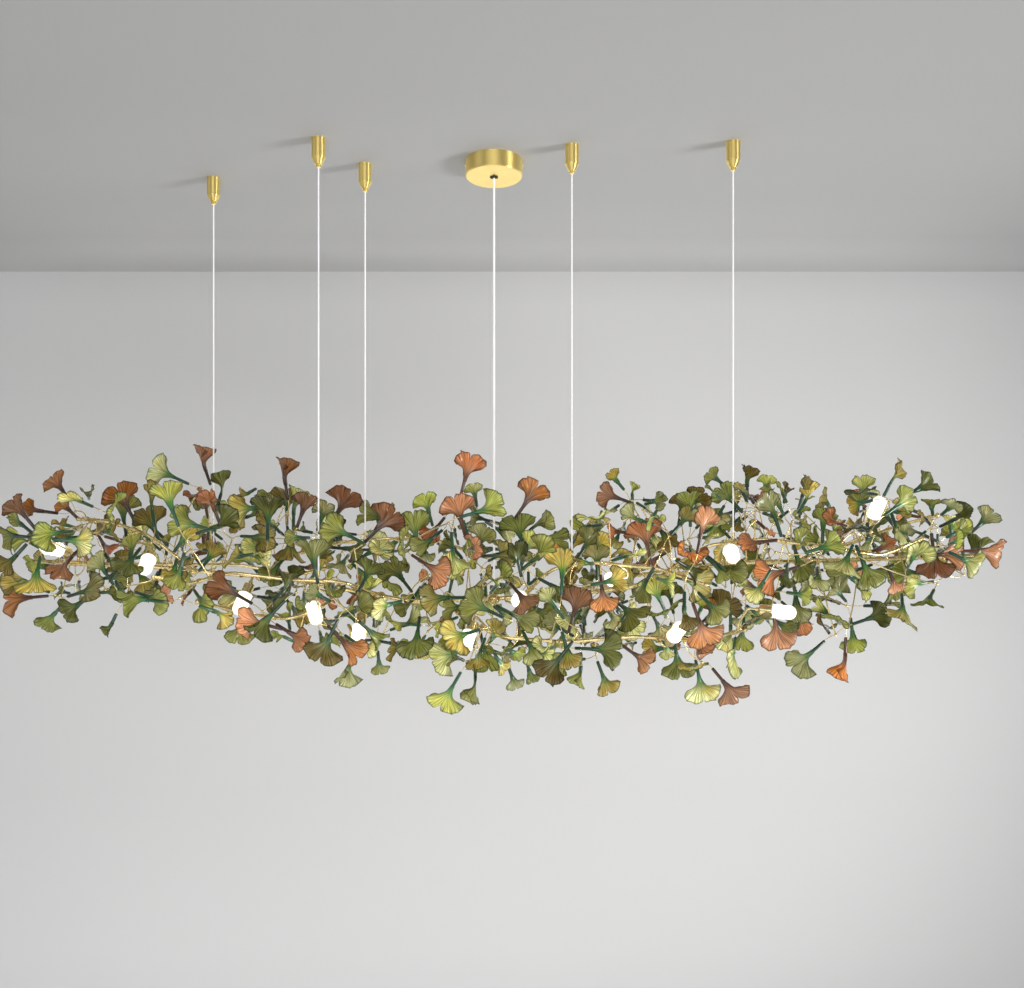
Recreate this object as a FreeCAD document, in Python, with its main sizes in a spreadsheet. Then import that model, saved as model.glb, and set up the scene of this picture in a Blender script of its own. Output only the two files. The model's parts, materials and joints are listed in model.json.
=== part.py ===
import FreeCAD, Part
import Sketcher
import math
import os
import random
from FreeCAD import Placement, Rotation, Vector

# Branch chandelier: a brass trunk with side branches hangs on five cables under a round canopy.
# Sprays of thin wire are clipped round the branches and carry cast ginkgo leaves and small bulbs.
# Origin: the middle of the canopy, on the ceiling. +Z is up, +X runs along the lamp, +Y to the back.

doc = FreeCAD.newDocument("BranchChandelier")
sheet = doc.addObject("Spreadsheet::Sheet", "Sizes")

SIZES = [
    ("canopy_diameter", 120, "outside of the canopy cover"),
    ("canopy_height", 33, "ceiling to the canopy's bottom face"),
    ("canopy_wall", 1.2, "spun brass sheet"),
    ("canopy_edge_radius", 2, "rolled edge at the bottom face"),
    ("bracket_width", 20, "flat bar on the ceiling"),
    ("bracket_thickness", 2, "flat bar on the ceiling"),
    ("bracket_tab_drop", 14, "how far each tab reaches down"),
    ("bracket_wall_gap", 2.8, "tab to the inside of the cover"),
    ("ceiling_hole_spacing", 70, "two screw holes in the bar"),
    ("ceiling_hole_diameter", 4.5, "for 4 mm wood screws"),
    ("feed_hole_diameter", 12, "where the house wiring comes through"),
    ("side_screw_diameter", 4, "M4, through the cover's rim slots"),
    ("side_screw_head_diameter", 7.5, "domed head"),
    ("side_screw_head_height", 2.4, "domed head"),
    ("side_screw_drop", 8, "screw axis below the ceiling"),
    ("slot_clearance", 0.5, "rim slot round the side screw"),
    ("fit_gap", 0.05, "seated round fits, each side"),
    ("slide_gap", 0.1, "sliding round fits, each side"),
    ("terminal_length", 20, "three-pole terminal block"),
    ("terminal_width", 16, "three-pole terminal block"),
    ("terminal_height", 12, "three-pole terminal block"),
    ("earth_screw_diameter", 4, "M4 earth screw in the bar"),
    ("earth_screw_head_diameter", 8, "earth screw"),
    ("earth_screw_head_height", 2.5, "earth screw"),
    ("gland_star_diameter", 17, "over the star's four points"),
    ("gland_waist_diameter", 9, "between the star's points"),
    ("gland_plate_thickness", 3, "star plate under the canopy"),
    ("gland_thread_diameter", 10, "M10 stem through the canopy"),
    ("gland_thread_length", 11, "above the star plate"),
    ("gland_nut_diameter", 16, "over the nut's corners"),
    ("gland_nut_height", 3, "nut inside the canopy"),
    ("cord_diameter", 4.5, "power cord"),
    ("cable_diameter", 3, "clear-coated steel cable"),
    ("gripper_diameter", 28, "cable gripper barrel"),
    ("gripper_height", 52, "ceiling to the gripper's mouth"),
    ("gripper_cone_height", 13, "tapered end of the barrel"),
    ("gripper_mouth_diameter", 14, "outside, at the mouth"),
    ("gripper_wall", 1.6, "turned barrel"),
    ("gripper_ledge_height", 8, "mouth to the ledge that the nipple rests on"),
    ("gripper_base_height", 6, "base disc on the ceiling"),
    ("base_hole_diameter", 4.5, "countersunk screw hole of the base"),
    ("base_sink_diameter", 9, "countersink of the base"),
    ("core_height", 16, "inner guide of the gripper"),
    ("core_top_space", 6, "base disc to the inner guide"),
    ("nipple_diameter", 10, "release nipple"),
    ("nipple_reach", 6, "nipple below the gripper's mouth"),
    ("nipple_flange_diameter", 17, "flange on the ledge"),
    ("nipple_flange_height", 3, "flange on the ledge"),
    ("nipple_travel", 2, "push to release"),
    ("cage_diameter", 9, "ball cage on the flange"),
    ("cage_height", 6, "ball cage on the flange"),
    ("ball_diameter", 3, "locking balls"),
    ("spring_wire", 0.8, "gripper spring"),
    ("spring_diameter", 13, "gripper spring, middle of the wire"),
    ("spring_turns", 5, "gripper spring"),
    ("height_travel", 12, "cable spare inside each gripper, up and down"),
    ("cable_top_gap", 2, "between a cable's end and what is above it, at full height"),
    ("gripper_1_x", -620, "left to right on the ceiling"),
    ("gripper_1_y", 85, "front to back on the ceiling"),
    ("gripper_2_x", -350, "left to right on the ceiling"),
    ("gripper_2_y", -105, "front to back on the ceiling"),
    ("gripper_3_x", -275, "left to right on the ceiling"),
    ("gripper_3_y", 15, "front to back on the ceiling"),
    ("gripper_4_x", 160, "left to right on the ceiling"),
    ("gripper_4_y", -75, "front to back on the ceiling"),
    ("gripper_5_x", 485, "left to right on the ceiling"),
    ("gripper_5_y", -90, "front to back on the ceiling"),
    ("drop_1", 852, "ceiling to the branch under gripper 1"),
    ("drop_2", 886, "ceiling to the branch under gripper 2"),
    ("drop_3", 801, "ceiling to the branch under gripper 3"),
    ("drop_4", 856, "ceiling to the branch under gripper 4"),
    ("drop_5", 809, "ceiling to the branch under gripper 5"),
    ("trunk_drop", 925, "ceiling to the trunk's middle"),
    ("trunk_diameter", 9, "brass tube"),
    ("branch_diameter", 7, "brass tube"),
    ("branch_bend_radius", 60, "largest bend in a branch"),
    ("hub_diameter", 19, "cast ball where a branch leaves the trunk"),
    ("hub_boss_length", 26, "from the ball's middle"),
    ("hub_wall", 1.8, "round the branch in its boss"),
    ("coupler_diameter", 26, "ball in the trunk's middle"),
    ("cord_boss_diameter", 10, "where the power cord enters the trunk"),
    ("cord_boss_height", 26, "from the coupler's middle"),
    ("cord_seat_depth", 9, "cord inside its boss"),
    ("tip_diameter", 11, "ball on a branch's end"),
    ("tip_depth", 6, "branch inside its tip ball"),
    ("hanger_wire", 3, "loop round the branch"),
    ("hanger_barrel_diameter", 6, "crimp above the loop"),
    ("hanger_barrel_height", 15, "crimp above the loop"),
    ("hanger_seat_depth", 9, "cable inside the crimp"),
    ("collar_length", 7, "clip of a spray on its branch"),
    ("collar_wall", 1.4, "clip of a spray on its branch"),
    ("stem_diameter", 2.8, "main wire of a spray"),
    ("wire_diameter", 1.7, "wire of one leaf"),
    ("joint_diameter", 6, "solder ball where the wires part"),
    ("foot_diameter", 4.4, "solder ball on the clip"),
    ("sleeve_diameter", 6.2, "thick base of a leaf"),
    ("foot_clearance", 0.15, "solder ball to the bore of its clip"),
    ("leaf_thickness", 1.8, "cast resin"),
    ("large_leaf_fan", 57, "neck to rim"),
    ("large_leaf_sleeve", 33, "thick base"),
    ("large_leaf_neck", 44, "stem end to where the fan opens"),
    ("middle_leaf_fan", 44, "neck to rim"),
    ("middle_leaf_sleeve", 28, "thick base"),
    ("middle_leaf_neck", 37, "stem end to where the fan opens"),
    ("small_leaf_fan", 30, "neck to rim"),
    ("small_leaf_sleeve", 20, "thick base"),
    ("small_leaf_neck", 27, "stem end to where the fan opens"),
    ("leaf_neck_width", 2.2, "narrowest place of a leaf"),
    ("leaf_bore_depth", 7, "wire inside the leaf's base"),
    ("arm_diameter", 5, "brass tube to a lamp holder"),
    ("holder_diameter", 22, "lamp holder"),
    ("holder_length", 24, "lamp holder"),
    ("holder_boss_diameter", 9, "back of the lamp holder"),
    ("holder_boss_length", 7, "back of the lamp holder"),
    ("arm_seat_depth", 5, "arm inside the holder's boss"),
    ("socket_diameter", 16, "recess for the bulb's base"),
    ("socket_depth", 15, "recess for the bulb's base"),
    ("bulb_diameter", 30, "frosted glass"),
    ("bulb_length", 48, "frosted glass"),
    ("bulb_glass_wall", 1, "frosted glass"),
    ("bulb_plate_height", 2, "plate under the glass"),
    ("led_diameter", 7, "light stick inside the glass"),
    ("led_length", 26, "light stick inside the glass"),
]

for row, (alias, value, meaning) in enumerate(SIZES, 1):
    sheet.set(f"A{row}", meaning)
    sheet.set(f"B{row}", str(value))
    sheet.setAlias(f"B{row}", alias)
doc.recompute()


class Size:
    """The sheet's values by name."""

    def __getattr__(self, alias):
        return float(sheet.get(alias))


size = Size()
parts = {}


def bind(obj, **formulas):
    """Tie an object's properties to the sheet."""
    for prop, formula in formulas.items():
        obj.setExpression(prop.replace("__", "."), formula)


def turned(name, profile, place_z="0"):
    """A PartDesign body turned about Z; the profile is (radius, height) formulas, none below zero."""
    body = doc.addObject("PartDesign::Body", name)
    plane = next(f for f in body.Origin.OriginFeatures if f.Role == "XZ_Plane")
    sketch = body.newObject("Sketcher::SketchObject", name + "Profile")
    sketch.AttachmentSupport = [(plane, "")]
    sketch.MapMode = "FlatFace"
    values = [(evaluate(r), evaluate(z)) for r, z in profile]
    corners = [Vector(r, z, 0) for r, z in values]
    count = len(corners)
    for i in range(count):
        sketch.addGeometry(Part.LineSegment(corners[i], corners[(i + 1) % count]), False)
    for i in range(count):
        other = (i + 1) % count
        join = Sketcher.Constraint("Coincident", i, 2, other, 1)
        sketch.addConstraint(join)
    for i, ((radius, height), (r_formula, z_formula)) in enumerate(zip(values, profile)):
        for kind, number, formula, axis in (
            ("DistanceX", radius, r_formula, -2),
            ("DistanceY", height, z_formula, -1),
        ):
            if abs(number) < 1e-9:
                sketch.addConstraint(Sketcher.Constraint("PointOnObject", i, 1, axis))
                continue
            key = sketch.addConstraint(Sketcher.Constraint(kind, -1, 1, i, 1, number))
            sketch.setExpression(f"Constraints[{key}]", formula)
    spin = body.newObject("PartDesign::Revolution", name + "Turned")
    spin.Profile = sketch
    spin.ReferenceAxis = (sketch, ["V_Axis"])
    spin.Angle = 360
    bind(body, Placement__Base__z=place_z)
    return body


def evaluate(formula):
    """The number that a formula over the sheet's names gives."""
    return float(sheet.evalExpression(formula.replace("Sizes.", "")))


def keep(name, shape):
    """A finished sub-part under its own label."""
    obj = doc.addObject("Part::Feature", name)
    obj.Shape = shape
    obj.Label = name
    parts[name] = obj
    return obj


def along(direction):
    """The turn that brings +Z onto a direction."""
    return Rotation(Vector(0, 0, 1), direction)


def placed(shape, base, rotation=Rotation()):
    copy = shape.copy()
    copy.Placement = Placement(base, rotation).multiply(shape.Placement)
    return copy


def rod(start, direction, diameter, length):
    return Part.makeCylinder(diameter / 2, length, start, direction)


def corner_arc(start, corner, end):
    """Edge of the arc that touches both lines of a corner, from start to end, equally far from it."""
    back = (start - corner).normalize()
    ahead = (end - corner).normalize()
    half_turn = (math.pi - back.getAngle(ahead)) / 2
    radius = (start - corner).Length / math.tan(half_turn)
    middle = corner + (back + ahead).normalize() * (radius / math.cos(half_turn) - radius)
    return Part.Arc(start, middle, end).toShape()


# Ceiling fittings round the origin

bracket_end = "Sizes.canopy_diameter / 2 - Sizes.canopy_wall - Sizes.bracket_wall_gap"


def box(name, length, width, height, x="0", y="0", z="0"):
    obj = doc.addObject("Part::Box", name)
    bind(obj, Length=length, Width=width, Height=height)
    bind(obj, Placement__Base__x=x, Placement__Base__y=y, Placement__Base__z=z)
    return obj


def drum(name, radius, height, x="0", y="0", z="0"):
    obj = doc.addObject("Part::Cylinder", name)
    bind(obj, Radius=radius, Height=height)
    bind(obj, Placement__Base__x=x, Placement__Base__y=y, Placement__Base__z=z)
    return obj


def joined(kind, name, shapes):
    obj = doc.addObject(kind, name)
    obj.Shapes = shapes
    return obj


def cut(name, base, tool):
    obj = doc.addObject("Part::Cut", name)
    obj.Base = base
    obj.Tool = tool
    return obj


bar = box(
    "BracketBar",
    f"2 * ({bracket_end})",
    "Sizes.bracket_width",
    "Sizes.bracket_thickness",
    f"-({bracket_end})",
    "-Sizes.bracket_width / 2",
    "-Sizes.bracket_thickness",
)
tabs = []
screw_axis_z = "-Sizes.side_screw_drop"
for side, place_x in (
    ("Right", f"{bracket_end} - Sizes.bracket_thickness"),
    ("Left", f"-({bracket_end})"),
):
    tabs.append(
        box(
            f"BracketTab{side}",
            "Sizes.bracket_thickness",
            "Sizes.bracket_width",
            "Sizes.bracket_tab_drop",
            place_x,
            "-Sizes.bracket_width / 2",
            "-Sizes.bracket_tab_drop",
        )
    )
holes = []
for side, sign in (("Right", ""), ("Left", "-")):
    holes.append(
        drum(
            f"CeilingHole{side}",
            "Sizes.ceiling_hole_diameter / 2",
            "2 * Sizes.bracket_thickness",
            f"{sign}Sizes.ceiling_hole_spacing / 2",
            "0",
            "-1.5 * Sizes.bracket_thickness",
        )
    )
holes.append(
    drum(
        "FeedHole",
        "Sizes.feed_hole_diameter / 2",
        "2 * Sizes.bracket_thickness",
        z="-1.5 * Sizes.bracket_thickness",
    )
)
earth_x = "(Sizes.ceiling_hole_spacing + Sizes.feed_hole_diameter) / 4"
holes.append(
    drum(
        "EarthHole",
        "Sizes.earth_screw_diameter / 2 + Sizes.fit_gap",
        "2 * Sizes.bracket_thickness",
        earth_x,
        "0",
        "-1.5 * Sizes.bracket_thickness",
    )
)
thread_hole = doc.addObject("Part::Cylinder", "TabThreads")
bind(thread_hole, Radius="Sizes.side_screw_diameter / 2 + Sizes.fit_gap", Height="Sizes.canopy_diameter")
bind(thread_hole, Placement__Base__z=screw_axis_z, Placement__Base__x="-Sizes.canopy_diameter / 2")
thread_hole.Placement.Rotation = Rotation(Vector(0, 1, 0), 90)
holes.append(thread_hole)
bracket_blank = joined("Part::MultiFuse", "BracketBlank", [bar] + tabs)
bracket_holes = joined("Part::MultiFuse", "BracketHoles", holes)
bracket = cut("CanopyBracket", bracket_blank, bracket_holes)

cover = turned(
    "CanopyCover",
    [
        ("Sizes.gland_thread_diameter / 2 + Sizes.slide_gap", "0"),
        ("Sizes.canopy_diameter / 2 - Sizes.canopy_edge_radius", "0"),
        ("Sizes.canopy_diameter / 2", "Sizes.canopy_edge_radius"),
        ("Sizes.canopy_diameter / 2", "Sizes.canopy_height"),
        ("Sizes.canopy_diameter / 2 - Sizes.canopy_wall", "Sizes.canopy_height"),
        ("Sizes.canopy_diameter / 2 - Sizes.canopy_wall", "Sizes.canopy_edge_radius"),
        ("Sizes.canopy_diameter / 2 - Sizes.canopy_edge_radius", "Sizes.canopy_wall"),
        ("Sizes.gland_thread_diameter / 2 + Sizes.slide_gap", "Sizes.canopy_wall"),
    ],
    "-Sizes.canopy_height",
)
slot_width = "Sizes.side_screw_diameter + 2 * Sizes.slot_clearance"
slot_round = doc.addObject("Part::Cylinder", "SlotRound")
bind(slot_round, Radius=f"({slot_width}) / 2", Height="2 * Sizes.canopy_diameter")
bind(slot_round, Placement__Base__x="-Sizes.canopy_diameter", Placement__Base__z=screw_axis_z)
slot_round.Placement.Rotation = Rotation(Vector(0, 1, 0), 90)
slot_open = box(
    "SlotOpen",
    "2 * Sizes.canopy_diameter",
    slot_width,
    "2 * Sizes.side_screw_drop",
    "-Sizes.canopy_diameter",
    f"-({slot_width}) / 2",
    screw_axis_z,
)
slots = joined("Part::MultiFuse", "RimSlots", [slot_round, slot_open])
cover_slotted = cut("CanopyCoverSlotted", cover, slots)

terminal = box(
    "TerminalBlock",
    "Sizes.terminal_length",
    "Sizes.terminal_width",
    "Sizes.terminal_height",
    "-(Sizes.ceiling_hole_spacing + Sizes.feed_hole_diameter) / 4 - Sizes.terminal_length / 2",
    "-Sizes.terminal_width / 2",
    "-Sizes.bracket_thickness - Sizes.terminal_height",
)
pole_holes = []
for pole in (-1, 0, 1):
    hole = drum(
        f"PoleHole{pole + 2}",
        "Sizes.terminal_width / 10",
        "Sizes.terminal_length + 2",
        "-(Sizes.ceiling_hole_spacing + Sizes.feed_hole_diameter) / 4 - Sizes.terminal_length / 2 - 1",
        f"{pole} * Sizes.terminal_width / 3.4",
        "-Sizes.bracket_thickness - Sizes.terminal_height / 2",
    )
    hole.Placement.Rotation = Rotation(Vector(0, 1, 0), 90)
    pole_holes.append(hole)
terminal_cut = cut("TerminalBlockCut", terminal, joined("Part::MultiFuse", "PoleHoles", pole_holes))

earth_screw = turned(
    "EarthScrew",
    [
        ("0", "0"),
        ("Sizes.earth_screw_head_diameter / 2 * 0.7", "0"),
        ("Sizes.earth_screw_head_diameter / 2", "Sizes.earth_screw_head_height / 2"),
        ("Sizes.earth_screw_head_diameter / 2", "Sizes.earth_screw_head_height"),
        ("Sizes.earth_screw_diameter / 2", "Sizes.earth_screw_head_height"),
        ("Sizes.earth_screw_diameter / 2", "Sizes.earth_screw_head_height + Sizes.bracket_thickness"),
        ("0", "Sizes.earth_screw_head_height + Sizes.bracket_thickness"),
    ],
    "-Sizes.bracket_thickness - Sizes.earth_screw_head_height",
)
bind(earth_screw, Placement__Base__x=earth_x)

screw_reach = "Sizes.canopy_wall + Sizes.bracket_wall_gap + 2 * Sizes.bracket_thickness"
side_screw = turned(
    "SideScrew",
    [
        ("0", "0"),
        ("Sizes.side_screw_diameter / 2", "0"),
        ("Sizes.side_screw_diameter / 2", screw_reach),
        ("Sizes.side_screw_head_diameter / 2", screw_reach),
        ("Sizes.side_screw_head_diameter / 2", f"{screw_reach} + Sizes.side_screw_head_height / 3"),
        ("Sizes.side_screw_head_diameter / 4", f"{screw_reach} + Sizes.side_screw_head_height"),
        ("0", f"{screw_reach} + Sizes.side_screw_head_height"),
    ],
)

gland_nut_blank = doc.addObject("Part::Prism", "GlandNutBlank")
gland_nut_blank.Polygon = 6
bind(gland_nut_blank, Circumradius="Sizes.gland_nut_diameter / 2", Height="Sizes.gland_nut_height")
bind(gland_nut_blank, Placement__Base__z="-Sizes.canopy_height + Sizes.canopy_wall")
gland_nut_hole = drum(
    "GlandNutHole",
    "Sizes.gland_thread_diameter / 2 + Sizes.fit_gap",
    "Sizes.gland_nut_height + 2",
    z="-Sizes.canopy_height + Sizes.canopy_wall - 1",
)
gland_nut = cut("GlandNut", gland_nut_blank, gland_nut_hole)


def gland_body_shape():
    """Star plate under the canopy and threaded stem through it, with the cord's bore."""
    corners = []
    for step in range(8):
        reach = (size.gland_waist_diameter if step % 2 else size.gland_star_diameter) / 2
        angle = math.radians(45 * step)
        corners.append(Vector(reach * math.cos(angle), reach * math.sin(angle), 0))
    bottom = -size.canopy_height - size.gland_plate_thickness
    star = Part.Face(Part.makePolygon(corners + corners[:1]))
    plate = star.extrude(Vector(0, 0, size.gland_plate_thickness))
    plate.translate(Vector(0, 0, bottom))
    upward = Vector(0, 0, 1)
    canopy_bottom = Vector(0, 0, -size.canopy_height)
    stem = rod(canopy_bottom, upward, size.gland_thread_diameter, size.gland_thread_length)
    bore_length = size.gland_plate_thickness + size.gland_thread_length + 2
    bore_diameter = size.cord_diameter + 2 * size.slide_gap
    bore = rod(Vector(0, 0, bottom - 1), upward, bore_diameter, bore_length)
    return plate.fuse(stem).cut(bore).removeSplitter()


# Cable gripper, drawn once under the ceiling plane and copied to its five places

inside_radius = "Sizes.gripper_diameter / 2 - Sizes.gripper_wall"
seated_radius = f"{inside_radius} - Sizes.fit_gap"
cable_bore = "Sizes.cable_diameter / 2 + Sizes.slide_gap"
nipple_bore = "Sizes.nipple_diameter / 2 + Sizes.slide_gap"

gripper_barrel = turned(
    "GripperBarrel",
    [
        (nipple_bore, "0"),
        ("Sizes.gripper_mouth_diameter / 2", "0"),
        ("Sizes.gripper_diameter / 2", "Sizes.gripper_cone_height"),
        ("Sizes.gripper_diameter / 2", "Sizes.gripper_height"),
        (inside_radius, "Sizes.gripper_height"),
        (inside_radius, "Sizes.gripper_cone_height"),
        ("Sizes.nipple_flange_diameter / 2 + Sizes.slide_gap", "Sizes.gripper_ledge_height"),
        (nipple_bore, "Sizes.gripper_ledge_height"),
    ],
    "-Sizes.gripper_height",
)
sink_depth = "(Sizes.base_sink_diameter - Sizes.base_hole_diameter) / 2"
gripper_base = turned(
    "GripperBase",
    [
        ("Sizes.base_sink_diameter / 2", "0"),
        (seated_radius, "0"),
        (seated_radius, "Sizes.gripper_base_height"),
        ("Sizes.base_hole_diameter / 2", "Sizes.gripper_base_height"),
        ("Sizes.base_hole_diameter / 2", sink_depth),
    ],
    "-Sizes.gripper_base_height",
)
gripper_core = turned(
    "GripperCore",
    [
        (cable_bore, "0"),
        (seated_radius, "0"),
        (seated_radius, "Sizes.core_height"),
        (cable_bore, "Sizes.core_height"),
    ],
    "-Sizes.gripper_base_height - Sizes.core_top_space - Sizes.core_height",
)
flange_z = "Sizes.nipple_reach + Sizes.gripper_ledge_height"
nipple_chamfer = "Sizes.nipple_diameter / 12"
nipple_blank = turned(
    "NippleBlank",
    [
        (cable_bore, "0"),
        (f"Sizes.nipple_diameter / 2 - {nipple_chamfer}", "0"),
        ("Sizes.nipple_diameter / 2", nipple_chamfer),
        ("Sizes.nipple_diameter / 2", flange_z),
        ("Sizes.nipple_flange_diameter / 2", flange_z),
        ("Sizes.nipple_flange_diameter / 2", f"{flange_z} + Sizes.nipple_flange_height"),
        ("Sizes.cage_diameter / 2", f"{flange_z} + Sizes.nipple_flange_height"),
        ("Sizes.cage_diameter / 2", f"{flange_z} + Sizes.nipple_flange_height + Sizes.cage_height"),
        (cable_bore, f"{flange_z} + Sizes.nipple_flange_height + Sizes.cage_height"),
    ],
    "-Sizes.gripper_height - Sizes.nipple_reach",
)

lamp_holder = turned(
    "LampHolder",
    [
        ("0", "Sizes.arm_seat_depth + Sizes.fit_gap"),
        ("Sizes.arm_diameter / 2 + Sizes.fit_gap", "Sizes.arm_seat_depth + Sizes.fit_gap"),
        ("Sizes.arm_diameter / 2 + Sizes.fit_gap", "0"),
        ("Sizes.holder_boss_diameter / 2", "0"),
        ("Sizes.holder_boss_diameter / 2", "Sizes.holder_boss_length * 0.7"),
        ("Sizes.holder_diameter / 2 * 0.85", "Sizes.holder_boss_length"),
        ("Sizes.holder_diameter / 2", "Sizes.holder_boss_length * 1.3"),
        ("Sizes.holder_diameter / 2", "Sizes.holder_boss_length + Sizes.holder_length"),
        ("Sizes.socket_diameter / 2", "Sizes.holder_boss_length + Sizes.holder_length"),
        (
            "Sizes.socket_diameter / 2",
            "Sizes.holder_boss_length + Sizes.holder_length - Sizes.socket_depth",
        ),
        ("0", "Sizes.holder_boss_length + Sizes.holder_length - Sizes.socket_depth"),
    ],
)
plug_length = "Sizes.socket_depth - Sizes.slide_gap"
bulb_base = turned(
    "BulbBase",
    [
        ("0", "0"),
        ("Sizes.socket_diameter / 2 - Sizes.slide_gap", "0"),
        ("Sizes.socket_diameter / 2 - Sizes.slide_gap", plug_length),
        ("Sizes.bulb_diameter / 2 - Sizes.bulb_glass_wall / 2", plug_length),
        (
            "Sizes.bulb_diameter / 2 - Sizes.bulb_glass_wall / 2",
            f"{plug_length} + Sizes.bulb_plate_height",
        ),
        ("0", f"{plug_length} + Sizes.bulb_plate_height"),
    ],
)
doc.recompute()


def ball_places():
    """Middles of the three balls, in the gripper's own frame."""
    reach = (size.cable_diameter + size.ball_diameter) / 2 + size.fit_gap
    flange_top = -size.gripper_height + size.gripper_ledge_height + size.nipple_flange_height
    height = flange_top + size.cage_height / 2
    places = []
    for step in range(3):
        angle = math.radians(120 * step + 90)
        places.append(Vector(reach * math.cos(angle), reach * math.sin(angle), height))
    return places


def nipple_shape():
    shape = nipple_blank.Shape.copy()
    for middle in ball_places():
        shape = shape.cut(Part.makeSphere(size.ball_diameter / 2 + size.fit_gap, middle))
    return shape


def double_arc(start, start_heading, end, end_heading):
    """Two tangent arcs that leave start and reach end along the given headings."""
    chord = end - start
    both = start_heading + end_heading
    spread = 2 * (1 - start_heading.dot(end_heading))
    lead = chord.dot(both)
    reach = (math.sqrt(lead**2 + spread * chord.dot(chord)) - lead) / spread
    first = start + start_heading * reach
    second = end - end_heading * reach
    joint = (first + second) * 0.5
    return [corner_arc(start, first, joint), corner_arc(joint, second, end)]


def spring_shape():
    """Round wire coiled between the nipple's flange and the guide above it."""
    margin = size.spring_wire / 2 + size.fit_gap
    low = -size.gripper_height + size.gripper_ledge_height + size.nipple_flange_height + margin
    high = -size.gripper_base_height - size.core_top_space - size.core_height - margin
    radius = size.spring_diameter / 2
    quarters = 4 * round(size.spring_turns)
    rise = (high - low) / quarters
    edges = []
    stations = []
    for step in range(quarters + 1):
        angle = math.pi / 2 * step
        across, depth = math.cos(angle), math.sin(angle)
        heading = Vector(-depth, across, rise / (radius * math.pi / 2)).normalize()
        stations.append((Vector(radius * across, radius * depth, low + rise * step), heading))
    for (start, start_heading), (end, end_heading) in zip(stations, stations[1:]):
        edges += double_arc(start, start_heading, end, end_heading)
    wire_end = Part.Wire(Part.makeCircle(size.spring_wire / 2, *stations[0]))
    print(f"spring: least gap between turns {4 * rise - size.spring_wire:.2f} mm")
    return Part.Wire(edges).makePipeShell([wire_end], True, False)


gripper_places = [
    Vector(getattr(size, f"gripper_{k}_x"), getattr(size, f"gripper_{k}_y"), 0) for k in range(1, 6)
]
hang_drops = [getattr(size, f"drop_{k}") for k in range(1, 6)]
loop_radius = size.branch_diameter / 2 + size.slide_gap + size.hanger_wire / 2
side_screw_start = (
    size.canopy_diameter / 2
    - size.canopy_wall
    - size.bracket_wall_gap
    - 2 * size.bracket_thickness
)

keep("canopy_bracket", bracket.Shape)
keep("canopy_cover", cover_slotted.Shape)
keep("terminal_block", terminal_cut.Shape)
keep("earth_screw", earth_screw.Shape)
keep("cord_grip_body", gland_body_shape())
keep("cord_grip_nut", gland_nut.Shape)
side_screws = [
    placed(
        side_screw.Shape,
        Vector(sign * side_screw_start, 0, -size.side_screw_drop),
        along(Vector(sign, 0, 0)),
    )
    for sign in (1, -1)
]
keep("canopy_side_screws", Part.Compound(side_screws))


def five(shape):
    """A gripper piece at its five places."""
    return [shape.translated(place) for place in gripper_places]


keep("gripper_bases", Part.Compound(five(gripper_base.Shape)))
keep("gripper_barrels", Part.Compound(five(gripper_barrel.Shape)))
keep("gripper_cores", Part.Compound(five(gripper_core.Shape)))
balls = [Part.makeSphere(size.ball_diameter / 2, middle) for middle in ball_places()]
for k, (nipple, spring, ball_set) in enumerate(
    zip(five(nipple_shape()), five(spring_shape()), five(Part.Compound(balls))), 1
):
    keep(f"release_nipple_{k}", nipple)
    keep(f"gripper_spring_{k}", spring)
    keep(f"gripper_balls_{k}", ball_set)

# Each cable is straight, from its spare end inside the gripper to the seat in its hanger
cable_top = "-Sizes.gripper_base_height - Sizes.height_travel - Sizes.cable_top_gap"
hanger_seat = (
    "Sizes.branch_diameter / 2 + Sizes.hanger_wire / 2 + Sizes.hanger_barrel_height"
    " - Sizes.hanger_seat_depth + Sizes.fit_gap + Sizes.slide_gap"
)
for k in range(1, 6):
    foot = f"{hanger_seat} - Sizes.drop_{k}"
    parts[f"cable_{k}"] = drum(
        f"Cable{k}",
        "Sizes.cable_diameter / 2",
        f"{cable_top} - ({foot})",
        f"Sizes.gripper_{k}_x",
        f"Sizes.gripper_{k}_y",
        foot,
    )
cord_top = "-Sizes.bracket_thickness - Sizes.height_travel - Sizes.cable_top_gap"
cord_foot = "Sizes.cord_boss_height - Sizes.cord_seat_depth + Sizes.fit_gap - Sizes.trunk_drop"
parts["power_cord"] = drum(
    "PowerCord",
    "Sizes.cord_diameter / 2",
    f"{cord_top} - ({cord_foot})",
    z=cord_foot,
)


# Trunk and branches


def rounded_path(points, bend_radius):
    """Straight runs joined by tangent arcs: all edges, and the straight ones as (start, way, length)."""
    edges = []
    spans = []
    here = points[0]
    for i in range(1, len(points)):
        end = points[i]
        if i < len(points) - 1:
            back = (points[i - 1] - points[i]).normalize()
            ahead = (points[i + 1] - points[i]).normalize()
            half_turn = (math.pi - back.getAngle(ahead)) / 2
            shorter = min((points[i - 1] - points[i]).Length, (points[i + 1] - points[i]).Length)
            radius = min(bend_radius, 0.45 * shorter / math.tan(half_turn))
            end = points[i] + back * (radius * math.tan(half_turn))
        edges.append(Part.LineSegment(here, end).toShape())
        spans.append((here, (end - here).normalize(), edges[-1].Length))
        if i < len(points) - 1:
            here = points[i] + ahead * (radius * math.tan(half_turn))
            edges.append(corner_arc(end, points[i], here))
    return edges, spans


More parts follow.
